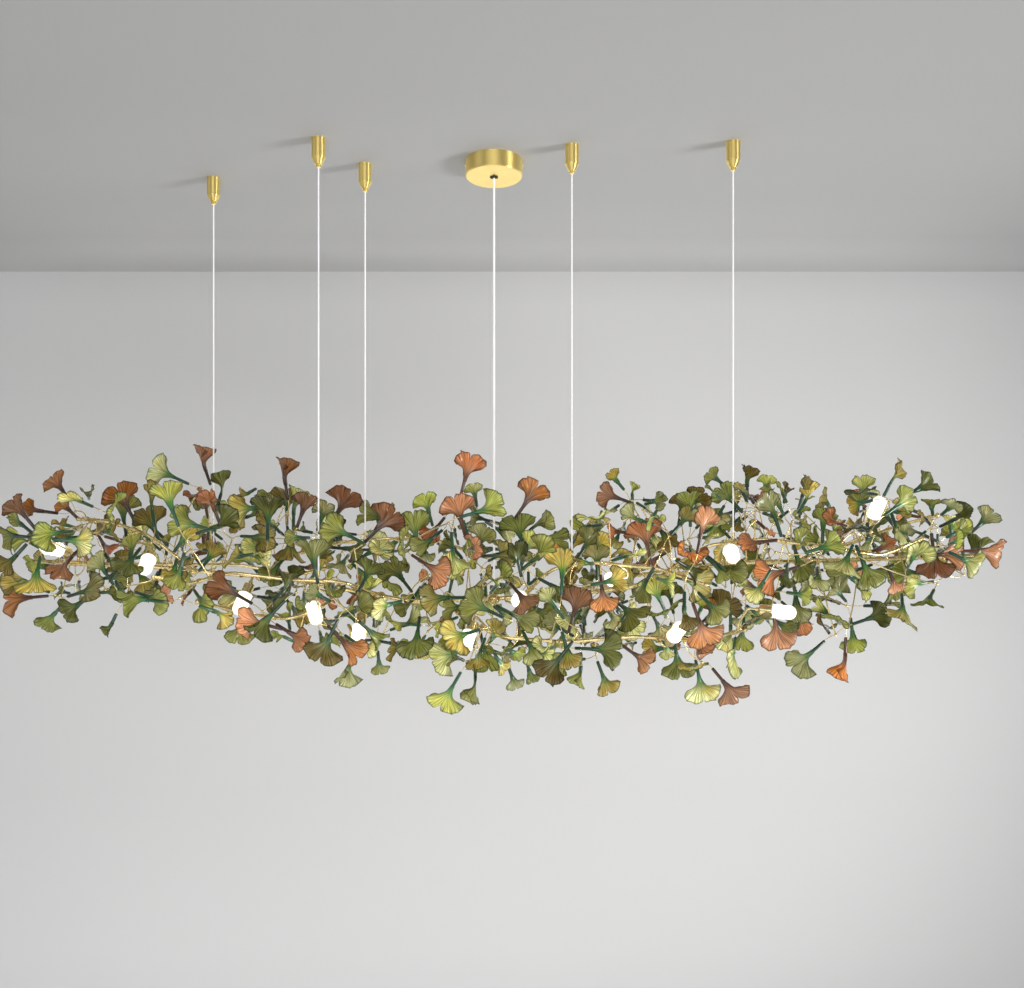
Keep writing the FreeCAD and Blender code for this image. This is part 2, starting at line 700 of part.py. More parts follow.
class Limb:
    """A bent brass tube through hand-set points, with its straight stretches kept for what clips on."""

    def __init__(self, points, diameter, start_gap=0.0):
        self.diameter = diameter
        heading = (points[1] - points[0]).normalize()
        start = points[0] + heading * start_gap
        self.edges, self.spans = rounded_path([start] + points[1:], size.branch_bend_radius)
        self.end = points[-1]
        self.end_heading = (points[-1] - points[-2]).normalize()
        profile = Part.Wire(Part.makeCircle(diameter / 2, start, heading))
        self.solid = Part.Wire(self.edges).makePipeShell([profile], True, False)

    def at_x(self, x):
        """The point on a straight stretch at this x, and the tube's direction there."""
        for start, direction, length in self.spans:
            way = (x - start.x) / direction.x
            if 0 <= way <= length:
                return start + direction * way, direction
        raise ValueError(f"no straight stretch at x = {x}")

    def points_along(self, step):
        found = []
        for edge in self.edges:
            count = max(2, int(edge.Length / step) + 1)
            found += edge.discretize(Number=count)
        return found


def under(k, dx=0.0, dy=0.0, dz=0.0):
    """A point measured from where cable k holds its branch."""
    place = gripper_places[k - 1]
    return Vector(place.x + dx, place.y + dy, -hang_drops[k - 1] + dz)


trunk_middle = Vector(0, 0, -size.trunk_drop)
trunk_clear = 1.0
trunk_left = Limb(
    [
        trunk_middle,
        trunk_middle + Vector(-170, 0, -7),
        Vector(-420, 20, -886),
        Vector(-720, 10, -858),
        Vector(-985, 0, -845),
    ],
    size.trunk_diameter,
    trunk_clear,
)
trunk_right = Limb(
    [
        trunk_middle,
        trunk_middle + Vector(270, 5, 20),
        Vector(480, -10, -850),
        Vector(750, 0, -843),
        Vector(1030, 10, -833),
    ],
    size.trunk_diameter,
    trunk_clear,
)

# Each branch: the half of the trunk it leaves, where along it, and the points it bends through
BRANCHES = [
    (trunk_left, -800, [Vector(-762, 52, -850), under(1, -60, 2, 1), under(1, 60, -2, -1),
                        Vector(-440, 95, -875), Vector(-330, 72, -850)]),
    (trunk_left, -240, [Vector(-265, -48, -908), under(2, 52, 5, -2), under(2, -60, -6, 2),
                        Vector(-520, -122, -870), Vector(-610, -105, -892), Vector(-690, -80, -880)]),
    (trunk_left, -500, [Vector(-440, 40, -832), under(3, -50, 0, -4), under(3, 50, 0, 4),
                        Vector(-120, 50, -800), Vector(-10, 78, -840), Vector(90, 66, -832)]),
    (trunk_right, 60, [Vector(88, -52, -892), under(4, -40, 1, -5), under(4, 50, -1, 6),
                       Vector(330, -112, -862), Vector(430, -92, -895)]),
    (trunk_right, 345, [Vector(385, -52, -848), under(5, -52, 3, -6), under(5, 60, -3, 7),
                        Vector(660, -112, -818), Vector(790, -72, -835), Vector(880, -62, -800)]),
    (trunk_right, 170, [Vector(205, 48, -898), Vector(300, 98, -878), Vector(470, 115, -850),
                        Vector(620, 104, -878), Vector(720, 80, -900)]),
    (trunk_right, 640, [Vector(684, 48, -832), Vector(770, 86, -812), Vector(880, 78, -768),
                        Vector(960, 50, -745)]),
    (trunk_left, -100, [Vector(-62, -42, -966), Vector(20, -74, -1002), Vector(150, -68, -1012),
                        Vector(290, -76, -1000), Vector(420, -62, -1010), Vector(520, -48, -988)]),
    (trunk_left, -330, [Vector(-352, -48, -942), Vector(-420, -70, -966), Vector(-520, -52, -952),
                        Vector(-620, -22, -930)]),
    (trunk_left, -640, [Vector(-664, -44, -830), Vector(-720, -52, -788), Vector(-800, -30, -764),
                        Vector(-880, 0, -756)]),
]
cable_branches = 5

branches = []
hubs = []
hub_middles = []
for trunk, hub_x, route in BRANCHES:
    middle, trunk_heading = trunk.at_x(hub_x)
    leaving = (route[0] - middle).normalize()
    angle = leaving.getAngle(trunk_heading)
    clear = size.trunk_diameter / 2 + 4 * size.slide_gap
    start_gap = (clear + size.branch_diameter / 2 * abs(math.cos(angle))) / math.sin(angle)
    branch = Limb([middle] + route, size.branch_diameter, start_gap)
    hub = Part.makeSphere(size.hub_diameter / 2, middle)
    boss_diameter = size.branch_diameter + 2 * (size.fit_gap + size.hub_wall)
    hub = hub.fuse(rod(middle, leaving, boss_diameter, size.hub_boss_length))
    trunk_bore = size.trunk_diameter + 2 * size.fit_gap
    hub = hub.cut(rod(middle - trunk_heading * size.hub_boss_length, trunk_heading, trunk_bore,
                      2 * size.hub_boss_length))
    bore_start = middle + leaving * (start_gap - size.slide_gap)
    branch_bore = size.branch_diameter + 2 * size.fit_gap
    hub = hub.cut(rod(bore_start, leaving, branch_bore, size.hub_boss_length))
    branches.append(branch)
    hubs.append(hub)
    hub_middles.append(middle)
limbs = [trunk_left, trunk_right] + branches


def coupler_shape():
    shape = Part.makeSphere(size.coupler_diameter / 2, trunk_middle)
    shape = shape.fuse(rod(trunk_middle, Vector(0, 0, 1), size.cord_boss_diameter, size.cord_boss_height))
    bore = size.trunk_diameter + 2 * size.fit_gap
    for limb in (trunk_left, trunk_right):
        start, heading, length = limb.spans[0]
        shape = shape.cut(rod(start - heading * size.slide_gap, heading, bore, size.coupler_diameter))
    seat = trunk_middle + Vector(0, 0, size.cord_boss_height - size.cord_seat_depth)
    cord_bore = size.cord_diameter + 2 * size.fit_gap
    return shape.cut(rod(seat, Vector(0, 0, 1), cord_bore, size.cord_seat_depth + 1))


def tip_shape(limb):
    """Ball pushed over the free end of a limb."""
    middle = limb.end + limb.end_heading * (size.tip_diameter / 2 - size.tip_depth)
    diameter = size.tip_diameter * limb.diameter / size.branch_diameter
    ball = Part.makeSphere(diameter / 2, middle, limb.end_heading)
    bore_start = limb.end - limb.end_heading * diameter
    bore_length = diameter + size.fit_gap
    return ball.cut(rod(bore_start, limb.end_heading, limb.diameter + 2 * size.fit_gap, bore_length))


def hanger_shape(k):
    """Loop round the branch with the crimp that takes the cable's end."""
    middle, branch_heading = branches[k - 1].at_x(under(k).x)
    loop = Part.makeTorus(loop_radius, size.hanger_wire / 2, middle, branch_heading)
    foot = under(k) + Vector(0, 0, loop_radius)
    shape = loop.fuse(rod(foot, Vector(0, 0, 1), size.hanger_barrel_diameter, size.hanger_barrel_height))
    seat = foot + Vector(0, 0, size.hanger_barrel_height - size.hanger_seat_depth)
    bore = size.cable_diameter + 2 * size.fit_gap
    return shape.cut(rod(seat, Vector(0, 0, 1), bore, size.hanger_seat_depth + 1))


keep("trunk_left", trunk_left.solid)
keep("trunk_right", trunk_right.solid)
keep("trunk_coupler", coupler_shape())
for k, branch in enumerate(branches[:cable_branches], 1):
    keep(f"branch_{k}", branch.solid)
keep("side_branches", Part.Compound([branch.solid for branch in branches[cable_branches:]]))
keep("branch_hubs", Part.Compound(hubs))
keep("branch_tips", Part.Compound([tip_shape(limb) for limb in limbs]))
keep("cable_hangers", Part.Compound([hanger_shape(k) for k in range(1, 6)]))


# Leaves: a thick sleeve that narrows to a neck, and a thin notched fan that opens from the neck

LEAF_SIZES = {
    name: {length: getattr(size, f"{name}_leaf_{length}") for length in ("fan", "sleeve", "neck")}
    for name in ("large", "middle", "small")
}
LEAF_SHAPES = {
    "open": {"spread": 57.0, "roll": 22.0, "wave": 7.0},
    "cupped": {"spread": 53.0, "roll": 44.0, "wave": 9.0},
    "rolled": {"spread": 49.0, "roll": 62.0, "wave": 5.0},
}
neck_half_width = size.leaf_neck_width / 2
notch_angle = 3.5
rim_reach = {"notch": 0.74, "beside": 0.96, "lobe": 1.02, "outer": 0.99, "corner": 0.88}
side_reach = 0.34
side_pinch = 0.52


def leaf_ray(shape, share):
    """Direction of a vein; share runs from -1 at one side of the fan to 1 at the other."""
    angle = math.radians(shape["spread"] * share)
    roll = math.radians(shape["roll"] * abs(share) + shape["wave"] * math.sin(3 * math.pi * share))
    across = math.sin(angle)
    return Vector(across * math.cos(roll), math.cos(angle), abs(across) * math.sin(roll))


def rim_shares(shape):
    """Shares and reaches of the rim's corners, from the notch outwards."""
    beside = notch_angle / shape["spread"]
    return [
        (0.0, rim_reach["notch"]),
        (beside, rim_reach["beside"]),
        (0.36, rim_reach["lobe"]),
        (0.68, rim_reach["outer"]),
        (1.0, rim_reach["corner"]),
    ]


def polygon(points):
    return Part.Face(Part.makePolygon(list(points) + [points[0]]))


def closed(faces):
    solid = Part.Solid(Part.Shell(faces))
    if solid.Volume < 0:
        solid.reverse()
    return solid


def leaf_solid(size_name, shape_name):
    """One cast leaf: stem end at the origin, mid vein along +Y, face towards +Z."""
    reach = LEAF_SIZES[size_name]
    shape = LEAF_SHAPES[shape_name]
    apex = Vector(0, reach["neck"] - 3 * neck_half_width, 0)
    depth = Vector(0, -0.7, -1) * size.leaf_thickness
    right = rim_shares(shape)
    rays = [(-share, far) for share, far in reversed(right[1:])] + right
    rim = [apex + leaf_ray(shape, share) * (far * reach["fan"]) for share, far in rays]
    neck = [apex + leaf_ray(shape, share) * (2 * neck_half_width) for share, far in rays]
    last = len(rays) - 1
    faces = []
    outline = list(rim)
    for i in range(last):
        corners = [neck[i], neck[i + 1], rim[i + 1], rim[i]]
        if i in (0, last - 1):
            edge, inner = (0, 1) if i == 0 else (last, last - 1)
            side = apex + (rim[edge] - apex) * side_reach
            side = side * side_pinch + (apex + (rim[inner] - apex) * side_reach) * (1 - side_pinch)
            corners = corners + [side] if i == 0 else corners[:2] + [side] + corners[2:]
            outline.insert(0 if i == 0 else len(outline), side)
        faces.append(polygon(corners))
        faces.append(polygon([corner + depth for corner in corners]))
    outline += list(reversed(neck))
    for i in range(len(outline)):
        start, end = outline[i - 1], outline[i]
        faces.append(polygon([start, end, end + depth, start + depth]))
    fan = closed(faces)
    stations = [
        (0.0, size.sleeve_diameter / 2 * 0.9),
        (reach["sleeve"], size.sleeve_diameter / 2),
        (reach["neck"] + 4, neck_half_width * 1.3),
    ]
    middle_z = -size.leaf_thickness / 2
    rings = []
    for way, radius in stations:
        turns = [math.radians(60 * step) for step in range(6)]
        rings.append([Vector(radius * math.cos(t), way, middle_z + radius * math.sin(t)) for t in turns])
    faces = [polygon(rings[0]), polygon(rings[-1])]
    for low, high in zip(rings, rings[1:]):
        for step in range(6):
            after = (step + 1) % 6
            faces.append(polygon([low[step], low[after], high[after], high[step]]))
    sleeve = closed(faces)
    bore_radius = (size.wire_diameter / 2 + size.slide_gap) / math.cos(math.radians(30))
    turns = [math.radians(60 * step + 30) for step in range(6)]
    mouth = [Vector(bore_radius * math.cos(t), 0, middle_z + bore_radius * math.sin(t)) for t in turns]
    bore = polygon(mouth).extrude(Vector(0, size.leaf_bore_depth, 0))
    return fan.fuse(sleeve).cut(bore)


leaf_kinds = {
    (size_name, shape_name): leaf_solid(size_name, shape_name)
    for size_name in LEAF_SIZES
    for shape_name in LEAF_SHAPES
}

# Room taken up so far, as balls of sample points in a coarse grid

sample_step = 8.0
sample_cover = 0.71


class Room:
    """Grid of sample balls; two pieces stay apart while none of their balls meet."""

    def __init__(self, cell=30.0):
        self.cell = cell
        self.grid = {}

    def key(self, point):
        return tuple(int(math.floor(value / self.cell)) for value in point)

    def add(self, samples):
        for point, radius in samples:
            self.grid.setdefault(self.key(point), []).append((point.x, point.y, point.z, radius))

    def free(self, samples):
        for point, radius in samples:
            i, j, k = self.key(point)
            px, py, pz = point
            for di in (-1, 0, 1):
                for dj in (-1, 0, 1):
                    for dk in (-1, 0, 1):
                        for x, y, z, other in self.grid.get((i + di, j + dj, k + dk), ()):
                            reach = radius + other
                            if (px - x) ** 2 + (py - y) ** 2 + (pz - z) ** 2 < reach * reach:
                                return False
        return True


def line_samples(start, end, radius, step=6.0):
    count = max(1, int(math.ceil((end - start).Length / step)))
    return [(start + (end - start) * (i / count), radius) for i in range(count + 1)]


def leaf_samples(size_name, shape_name):
    """Sample balls over a leaf in its own frame."""
    reach = LEAF_SIZES[size_name]
    shape = LEAF_SHAPES[shape_name]
    sleeve_ball = size.sleeve_diameter / 2 + 1.6
    samples = line_samples(Vector(0, 3, 0), Vector(0, reach["neck"], 0), sleeve_ball, 5.0)
    apex = Vector(0, reach["neck"] - 3 * neck_half_width, 0)
    fan_ball = sample_step * sample_cover + size.leaf_thickness / 2
    way = sample_step
    while way < reach["fan"] + sample_step / 2:
        far = min(way, reach["fan"])
        width = 2 * math.radians(shape["spread"]) * far
        count = max(1, int(math.ceil(width / sample_step)))
        for i in range(count + 1):
            share = 2 * i / count - 1
            samples.append((apex + leaf_ray(shape, share) * far, fan_ball))
        way += sample_step
    return samples


leaf_sample_sets = {kind: leaf_samples(*kind) for kind in leaf_kinds}


def moved_samples(samples, place):
    return [(place.multVec(point), radius) for point, radius in samples]


room = Room()
wire_margin = 2.8
for limb in limbs:
    room.add([(point, limb.diameter / 2 + 1.5) for point in limb.points_along(5.0)])
for middle in hub_middles + [trunk_middle]:
    room.add([(middle, size.hub_diameter / 2 + 2)])
for k, place in enumerate(gripper_places, 1):
    low = under(k)
    room.add(line_samples(low, low + Vector(0, 0, 330), size.cable_diameter / 2 + 3))
room.add(line_samples(trunk_middle, trunk_middle + Vector(0, 0, 330), size.cord_diameter / 2 + 3))


# Places where something can clip round a limb: straight stretches, clear of hubs, loops and each other

collar_room = size.collar_length + 1.5


class Seat:
    def __init__(self, limb, point, heading):
        self.limb = limb
        self.point = point
        self.heading = heading
        self.used = False


seats = []
for limb in limbs:
    for start, heading, length in limb.spans:
        way = collar_room
        while way < length - collar_room:
            seats.append(Seat(limb, start + heading * way, heading))
            way += 3.0


def block_seats(point, reach):
    for seat in seats:
        if (seat.point - point).Length < reach:
            seat.used = True


for middle in hub_middles:
    block_seats(middle, size.hub_boss_length + collar_room)
for k in range(1, 6):
    block_seats(under(k), size.hanger_wire + collar_room)
for limb in limbs:
    block_seats(limb.end, size.tip_diameter + collar_room / 2)
block_seats(trunk_middle, size.coupler_diameter / 2 + collar_room)


def across_from(axis, towards):
    """The unit direction square to an axis that points most towards something."""
    flat = towards - axis * towards.dot(axis)
    return flat.normalize()


def arc_path(start, heading, end):
    """Edge that leaves start along a heading and ends at end: an arc, or a line if it points there."""
    chord = end - start
    angle = heading.getAngle(chord)
    if angle < math.radians(1.5):
        return Part.LineSegment(start, end).toShape()
    radius = chord.Length / (2 * math.sin(angle))
    unit = Vector(chord).normalize()
    inward = across_from(heading, chord)
    centre = start + inward * radius
    middle_way = (start + end) * 0.5 - centre
    if angle > math.pi / 2:
        middle_way = middle_way * -1
    if middle_way.Length < 1e-6:
        middle_way = unit
    return Part.Arc(start, centre + middle_way.normalize() * radius, end).toShape()


def mirrored_heading(heading, chord):
    """Heading at the other end of an arc that has this heading at one end of its chord."""
    unit = Vector(chord).normalize()
    return unit * (2 * unit.dot(heading)) - heading


def pipe(edges, diameter):
    first = edges[0]
    start = first.valueAt(first.FirstParameter)
    heading = first.tangentAt(first.FirstParameter)
    profile = Part.Wire(Part.makeCircle(diameter / 2, start, heading))
    return Part.Wire(edges).makePipeShell([profile], True, False)


def foot_middle(seat, outward, foot_diameter):
    """Middle of the solder ball on a clip, as near as the clip's bore allows."""
    bore_radius = seat.limb.diameter / 2 + size.fit_gap
    return seat.point + outward * (bore_radius + size.foot_clearance + foot_diameter / 2)


def collar_solid(seat, outward):
    """Clip round a limb, turned so that its seam lies away from the solder ball."""
    bore_radius = seat.limb.diameter / 2 + size.fit_gap
    bore = Part.makeCylinder(bore_radius, size.collar_length + 2, Vector(0, 0, -1))
    collar = Part.makeCylinder(bore_radius + size.collar_wall, size.collar_length).cut(bore)
    side = seat.heading.cross(outward * -1)
    start = seat.point - seat.heading * (size.collar_length / 2)
    return placed(collar, start, Rotation(outward * -1, side, seat.heading, "ZXY"))


def seam_points(turn):
    """Directions along a sphere's seam, from pole to pole, after a turn."""
    angles = [math.radians(degrees) for degrees in range(-90, 91, 15)]
    return [turn.multVec(Vector(math.cos(a), 0, math.sin(a))) for a in angles]


seam_turns = [
    Rotation(yaw, pitch, roll)
    for yaw in range(0, 360, 30)
    for pitch in range(-60, 61, 30)
    for roll in range(0, 360, 60)
]
seam_choices = [(turn, seam_points(turn)) for turn in seam_turns]
seam_clearance = math.radians(9)


def wire_cone(heading, wire_diameter, ball_diameter):
    """Direction and half angle of the patch that a wire takes up on a ball."""
    return heading, math.asin(wire_diameter / ball_diameter)


def collar_cone(outward, ball_diameter):
    """Direction and half angle of the patch that the clip takes up on its ball."""
    above = size.foot_clearance + ball_diameter / 2 - size.collar_wall
    return outward * -1, math.acos(2 * above / ball_diameter)


def solder_ball(diameter, middle, cones):
    """Ball turned so that its seam runs clear of the patches where other pieces join it."""
    best = -math.pi
    for turn, points in seam_choices:
        clear = min(point.getAngle(heading) - half for point in points for heading, half in cones)
        if clear > best:
            best = clear
            best_turn = turn
        if clear > seam_clearance:
            break
    return placed(Part.makeSphere(diameter / 2), middle, best_turn)


# Bulbs: middle of each glass, and where the bulb points

BULBS = [
    (Vector(-910, -60, -820), Vector(-0.3, -0.9, 0.1)),
    (Vector(-695, -90, -857), Vector(0.1, -0.8, -0.5)),
    (Vector(-515, -70, -936), Vector(-0.2, -0.5, -0.8)),
    (Vector(-360, -60, -955), Vector(0.3, -0.6, -0.7)),
    (Vector(-281, -40, -1003), Vector(-0.1, -0.3, -0.9)),
    (Vector(-53, -80, -1011), Vector(-0.2, -0.6, -0.7)),
    (Vector(54, -100, -922), Vector(0.1, -0.9, 0.2)),
    (Vector(251, -100, -877), Vector(0.6, -0.7, 0.3)),
    (Vector(365, -90, -985), Vector(0.2, -0.8, 0.5)),
    (Vector(465, -130, -836), Vector(-0.1, -0.9, -0.3)),
    (Vector(589, -90, -950), Vector(1.0, -0.3, -0.1)),
    (Vector(796, -40, -733), Vector(0.1, -0.6, 0.7)),
]

holder_total = size.holder_boss_length + size.holder_length
plate_top = holder_total + size.bulb_plate_height
glass_radius = size.bulb_diameter / 2


def capsule(radius, length, start):
    """Round-ended closed glass form standing on a plane at height start."""
    form = Part.makeCylinder(radius, length - radius, Vector(0, 0, start))
    return form.fuse(Part.makeSphere(radius, Vector(0, 0, start + length - radius)))


def bulb_glass_shape():
    outer = capsule(glass_radius, size.bulb_length, plate_top)
    wall = size.bulb_glass_wall
    inner = capsule(glass_radius - wall, size.bulb_length - wall, plate_top)
    below = Part.makeCylinder(glass_radius + 1, glass_radius, Vector(0, 0, plate_top - glass_radius))
    return outer.cut(inner).cut(below)


def led_shape():
    radius = size.led_diameter / 2
    stick = capsule(radius, size.led_length, plate_top)
    return stick.cut(Part.makeCylinder(radius + 1, radius, Vector(0, 0, plate_top - radius)))


glass_shape = bulb_glass_shape()
light_shape = led_shape()
base_lift = holder_total - size.socket_depth + size.slide_gap
bulb_base_shape = bulb_base.Shape.copy()
bulb_base_shape.translate(Vector(0, 0, base_lift))
arms = []
holders = []
bases = []
glasses = []
lights = []
arm_lead = 16.0


def nearest_seats(point, count):
    """The free places nearest to a point, nearest first."""
    open_seats = [seat for seat in seats if not seat.used]
    return sorted(open_seats, key=lambda seat: (seat.point - point).Length)[:count]


def add_bulb(middle, pointing):
    """Set a bulb where there is room, a little further to the front if need be, and its arm."""
    axis = Vector(pointing).normalize()
    turn = along(axis)
    while True:
        back = middle - axis * (plate_top + size.bulb_length / 2)
        front = middle + axis * (size.bulb_length / 2)
        body_samples = line_samples(back, front, glass_radius + 2, 8.0)
        if room.free(body_samples):
            break
        middle = middle + Vector(0, -6, 0)
    foot_diameter = size.arm_diameter + 2
    for seat in nearest_seats(back - axis * arm_lead, 40):
        outward = across_from(seat.heading, back - seat.point)
        ball_middle = foot_middle(seat, outward, foot_diameter)
        knee = back - axis * arm_lead
        route = [ball_middle, ball_middle + outward * arm_lead * 0.8, knee, back + axis * size.arm_seat_depth]
        if (route[2] - route[1]).Length < arm_lead * 0.6:
            continue
        if (route[2] - route[1]).getAngle(axis) > math.radians(130):
            continue
        edges, spans = rounded_path(route, arm_lead * 0.6)
        samples = []
        for edge in edges[1:]:
            samples += [(point, size.arm_diameter / 2 + wire_margin) for point in edge.discretize(Number=5)]
        collar = collar_solid(seat, outward)
        cones = [wire_cone(outward, size.arm_diameter, foot_diameter), collar_cone(outward, foot_diameter)]
        ball = solder_ball(foot_diameter, ball_middle, cones)
        arms.append(collar.fuse([ball, pipe(edges, size.arm_diameter)]))
        for group, shape in (
            (holders, lamp_holder.Shape),
            (bases, bulb_base_shape),
            (glasses, glass_shape),
            (lights, light_shape),
        ):
            group.append(placed(shape, back, turn))
        room.add(body_samples + samples)
        block_seats(seat.point, collar_room)
        return
    raise ValueError("a bulb found no branch to stand on")


for middle, pointing in BULBS:
    add_bulb(middle, pointing)
keep("socket_arms", Part.Compound(arms))
keep("lamp_holders", Part.Compound(holders))
keep("bulb_bases", Part.Compound(bases))
keep("bulb_glasses", Part.Compound(glasses))
keep("bulb_lights", Part.Compound(lights))


# Leaves that shape the outline: middle of the fan (x, y, z), lean in the upright plane that faces
# the room, anticlockwise from +X, turn about the leaf's own stem (0 shows its face, 90 its edge)

GREEN_OUTLINE = [
    (-1010, 0, -790, 150, 70, "large"),
    (-960, -60, -860, 230, 30, "middle"),
    (-865, 0, -685, 105, 25, "large"),
    (-875, -60, -950, 215, 10, "middle"),
    (-960, 20, -980, 230, 50, "middle"),
    (-805, -30, -995, 245, 40, "small"),
    (-720, -70, -750, 110, 45, "large"),
    (-735, 60, -645, 155, 0, "large"),
    (-575, 40, -670, 75, 75, "large"),
    (-535, 20, -675, 150, 40, "large"),
    (-530, -60, -1005, 260, 20, "middle"),
    (-425, -30, -705, 90, 70, "large"),
    (-150, 30, -710, 105, 20, "middle"),
    (-430, -60, -1035, 230, 50, "large"),
    (-335, -90, -1030, 245, 0, "large"),
    (-315, -40, -1090, 245, 60, "large"),
    (-245, 20, -1080, 275, 20, "small"),
    (-110, -100, -1045, 200, 10, "large"),
    (-105, -40, -1140, 240, 15, "large"),
    (-45, 40, -685, 100, 0, "small"),
    (5, -60, -740, 15, 25, "large"),
    (105, 20, -750, 45, 65, "large"),
    (80, -90, -805, 50, 10, "middle"),
    (-40, 0, -1130, 270, 75, "large"),
    (45, -40, -1105, 290, 0, "small"),
    (80, 30, -1100, 285, 20, "small"),
    (180, -40, -1095, 270, 65, "middle"),
    (215, -80, -825, 90, 20, "middle"),
    (240, 0, -1115, 290, 0, "middle"),
    (250, 20, -660, 130, 20, "small"),
    (300, 40, -680, 90, 70, "small"),
    (315, -20, -700, 80, 40, "large"),
    (260, -70, -770, 105, 10, "middle"),
    (405, -50, -715, 90, 20, "middle"),
    (460, 10, -660, 140, 10, "small"),
    (535, 0, -655, 90, 40, "middle"),
    (595, 40, -665, 80, 10, "small"),
    (655, -20, -680, 75, 50, "middle"),
    (675, -70, -750, 85, 20, "middle"),
    (785, 20, -675, 95, 10, "middle"),
    (755, -50, -710, 85, 20, "small"),
    (855, 0, -650, 65, 60, "large"),
    (865, -50, -695, 25, 20, "middle"),
    (975, -40, -775, 100, 60, "large"),
    (1040, 20, -750, 45, 20, "middle"),
    (1055, 50, -810, 40, 65, "large"),
    (965, -90, -855, -25, 10, "middle"),
    (755, -90, -885, -70, 15, "large"),
    (635, -90, -870, -75, 30, "large"),
    (645, -80, -960, -80, 60, "large"),
    (395, -60, -1080, -80, 20, "large"),
    (445, 0, -1130, -80, 15, "large"),
    (510, 20, -1025, -90, 75, "large"),
    (630, -60, -1060, 220, 10, "large"),
    (755, -40, -1025, -85, 50, "middle"),
]
AMBER_OUTLINE = [
    (-1000, -40, -925, 185, 20, "large"),
    (-945, 30, -670, 130, 0, "middle"),
    (-900, -30, -725, 135, 10, "small"),
    (-655, 80, -605, 110, 75, "large"),
    (-495, -90, -965, 165, 30, "large"),
    (-455, 30, -640, 100, 65, "large"),
    (-385, -50, -720, 70, 0, "middle"),
    (-300, -60, -715, 60, 10, "large"),
    (-210, -70, -755, 45, 0, "large"),
    (-50, -40, -640, 75, 20, "large"),
    (-75, -80, -730, 105, 25, "large"),
    (85, -60, -700, 55, 0, "large"),
    (120, -100, -815, 45, 0, "small"),
    (220, -100, -935, -85, 0, "middle"),
    (230, -40, -705, 160, 15, "middle"),
    (305, -90, -780, 100, 15, "large"),
    (1045, -30, -825, 0, 30, "large"),
    (945, -70, -830, 5, 0, "large"),
    (890, -80, -865, -80, 50, "large"),
    (835, -60, -905, -70, 0, "small"),
    (315, -70, -1055, -35, 10, "middle"),
    (440, -80, -1020, -20, 75, "large"),
    (500, -40, -1125, -50, 35, "large"),
    (580, -90, -1010, -85, 0, "large"),
    (735, -20, -1080, -90, 80, "large"),
]

# Space that the leaves between the outline ones fill: x, lowest and highest middle of a fan
FILL = [
    (-1000, -900, -740),
    (-900, -925, -720),
    (-750, -920, -700),
    (-620, -930, -700),
    (-480, -975, -690),
    (-350, -1030, -735),
    (-200, -1050, -750),
    (0, -1070, -745),
    (150, -1060, -780),
    (300, -1060, -720),
    (450, -1060, -700),
    (600, -1010, -680),
    (750, -980, -700),
    (850, -930, -700),
    (950, -870, -740),
    (1010, -860, -780),
]
fill_depth = 195.0
small_from_x = 260.0
small_above_z = -800.0
first_mix = {"small": ["small", "small", "middle"], "usual": ["large", "middle", "middle", "small"]}
gap_mix = {"small": ["small", "middle"], "usual": ["large", "large", "middle"]}
amber_share = 0.09
first_leaves = 340
leaves_wanted = 530
gap_share = 0.3
gap_forward = 0.6
gap_cell = 9.0
leaf_tries = 60
spray_tries = 3000
gap_tries = 14000
draw = random.Random(11)

wire_lead = 24.0
least_wire_chord = 0.7 * wire_lead
most_wire_chord = 1.9 * wire_lead
wire_sink = 0.15
joint_radius = size.joint_diameter / 2
wire_parting = math.radians(38)
stem_parting = math.radians(52)
least_stem_angle = math.radians(25)
most_stem_bend = math.radians(60)


class Leaf:
    """A placed leaf: its kind, colour and frame, and where its wire goes in."""

    def __init__(self, kind, amber, base, axis, face):
        self.kind = kind
        self.amber = amber
        self.base = base
        self.axis = axis
        across = axis.cross(face)
        middle = face * (-size.leaf_thickness / 2)
        self.place = Placement(base - middle, Rotation(across, axis, face, "YZX"))
        self.samples = moved_samples(leaf_sample_sets[kind], self.place)


def fan_middle(size_name):
    reach = LEAF_SIZES[size_name]
    return reach["neck"] + 0.55 * reach["fan"]


def turned_about(vector, axis, degrees):
    return Rotation(axis, degrees).multVec(vector)


def random_direction():
    while True:
        vector = Vector(draw.uniform(-1, 1), draw.uniform(-1, 1), draw.uniform(-1, 1))
        if 0.1 < vector.Length < 1:
            return vector.normalize()


def shape_for(turn):
    if turn > 60:
        return "rolled"
    return draw.choice(["open", "open", "cupped"])


def outline_leaf(row, amber, shift):
    """A leaf of the outline; shift moves it to the back or front and changes nothing seen head on."""
    x, y, z, lean, turn, size_name = row
    angle = math.radians(lean)
    axis = Vector(math.cos(angle), draw.uniform(-0.2, 0.15), math.sin(angle)).normalize()
    face = across_from(axis, Vector(0, -1, 0))
    face = turned_about(face, axis, turn * draw.choice([-1, 1]))
    middle = Vector(x, y + shift, z)
    return Leaf((size_name, shape_for(turn)), amber, middle - axis * fan_middle(size_name), axis, face)


def fill_limits(x):
    for (x_low, low_a, high_a), (x_high, low_b, high_b) in zip(FILL, FILL[1:]):
        if x_low <= x <= x_high:
            share = (x - x_low) / (x_high - x_low)
            return low_a + share * (low_b - low_a), high_a + share * (high_b - high_a)
    return None


hidden_cells = set()


def front_cells(leaf):
    """Squares of the view from the room that a leaf hides."""
    return {(round(point.x / gap_cell), round(point.z / gap_cell)) for point, radius in leaf.samples}


def fills_gap(leaf, least_share):
    """Whether at least this share of a leaf shows where no leaf is yet."""
    cells = front_cells(leaf)
    return len(cells - hidden_cells) >= least_share * len(cells)


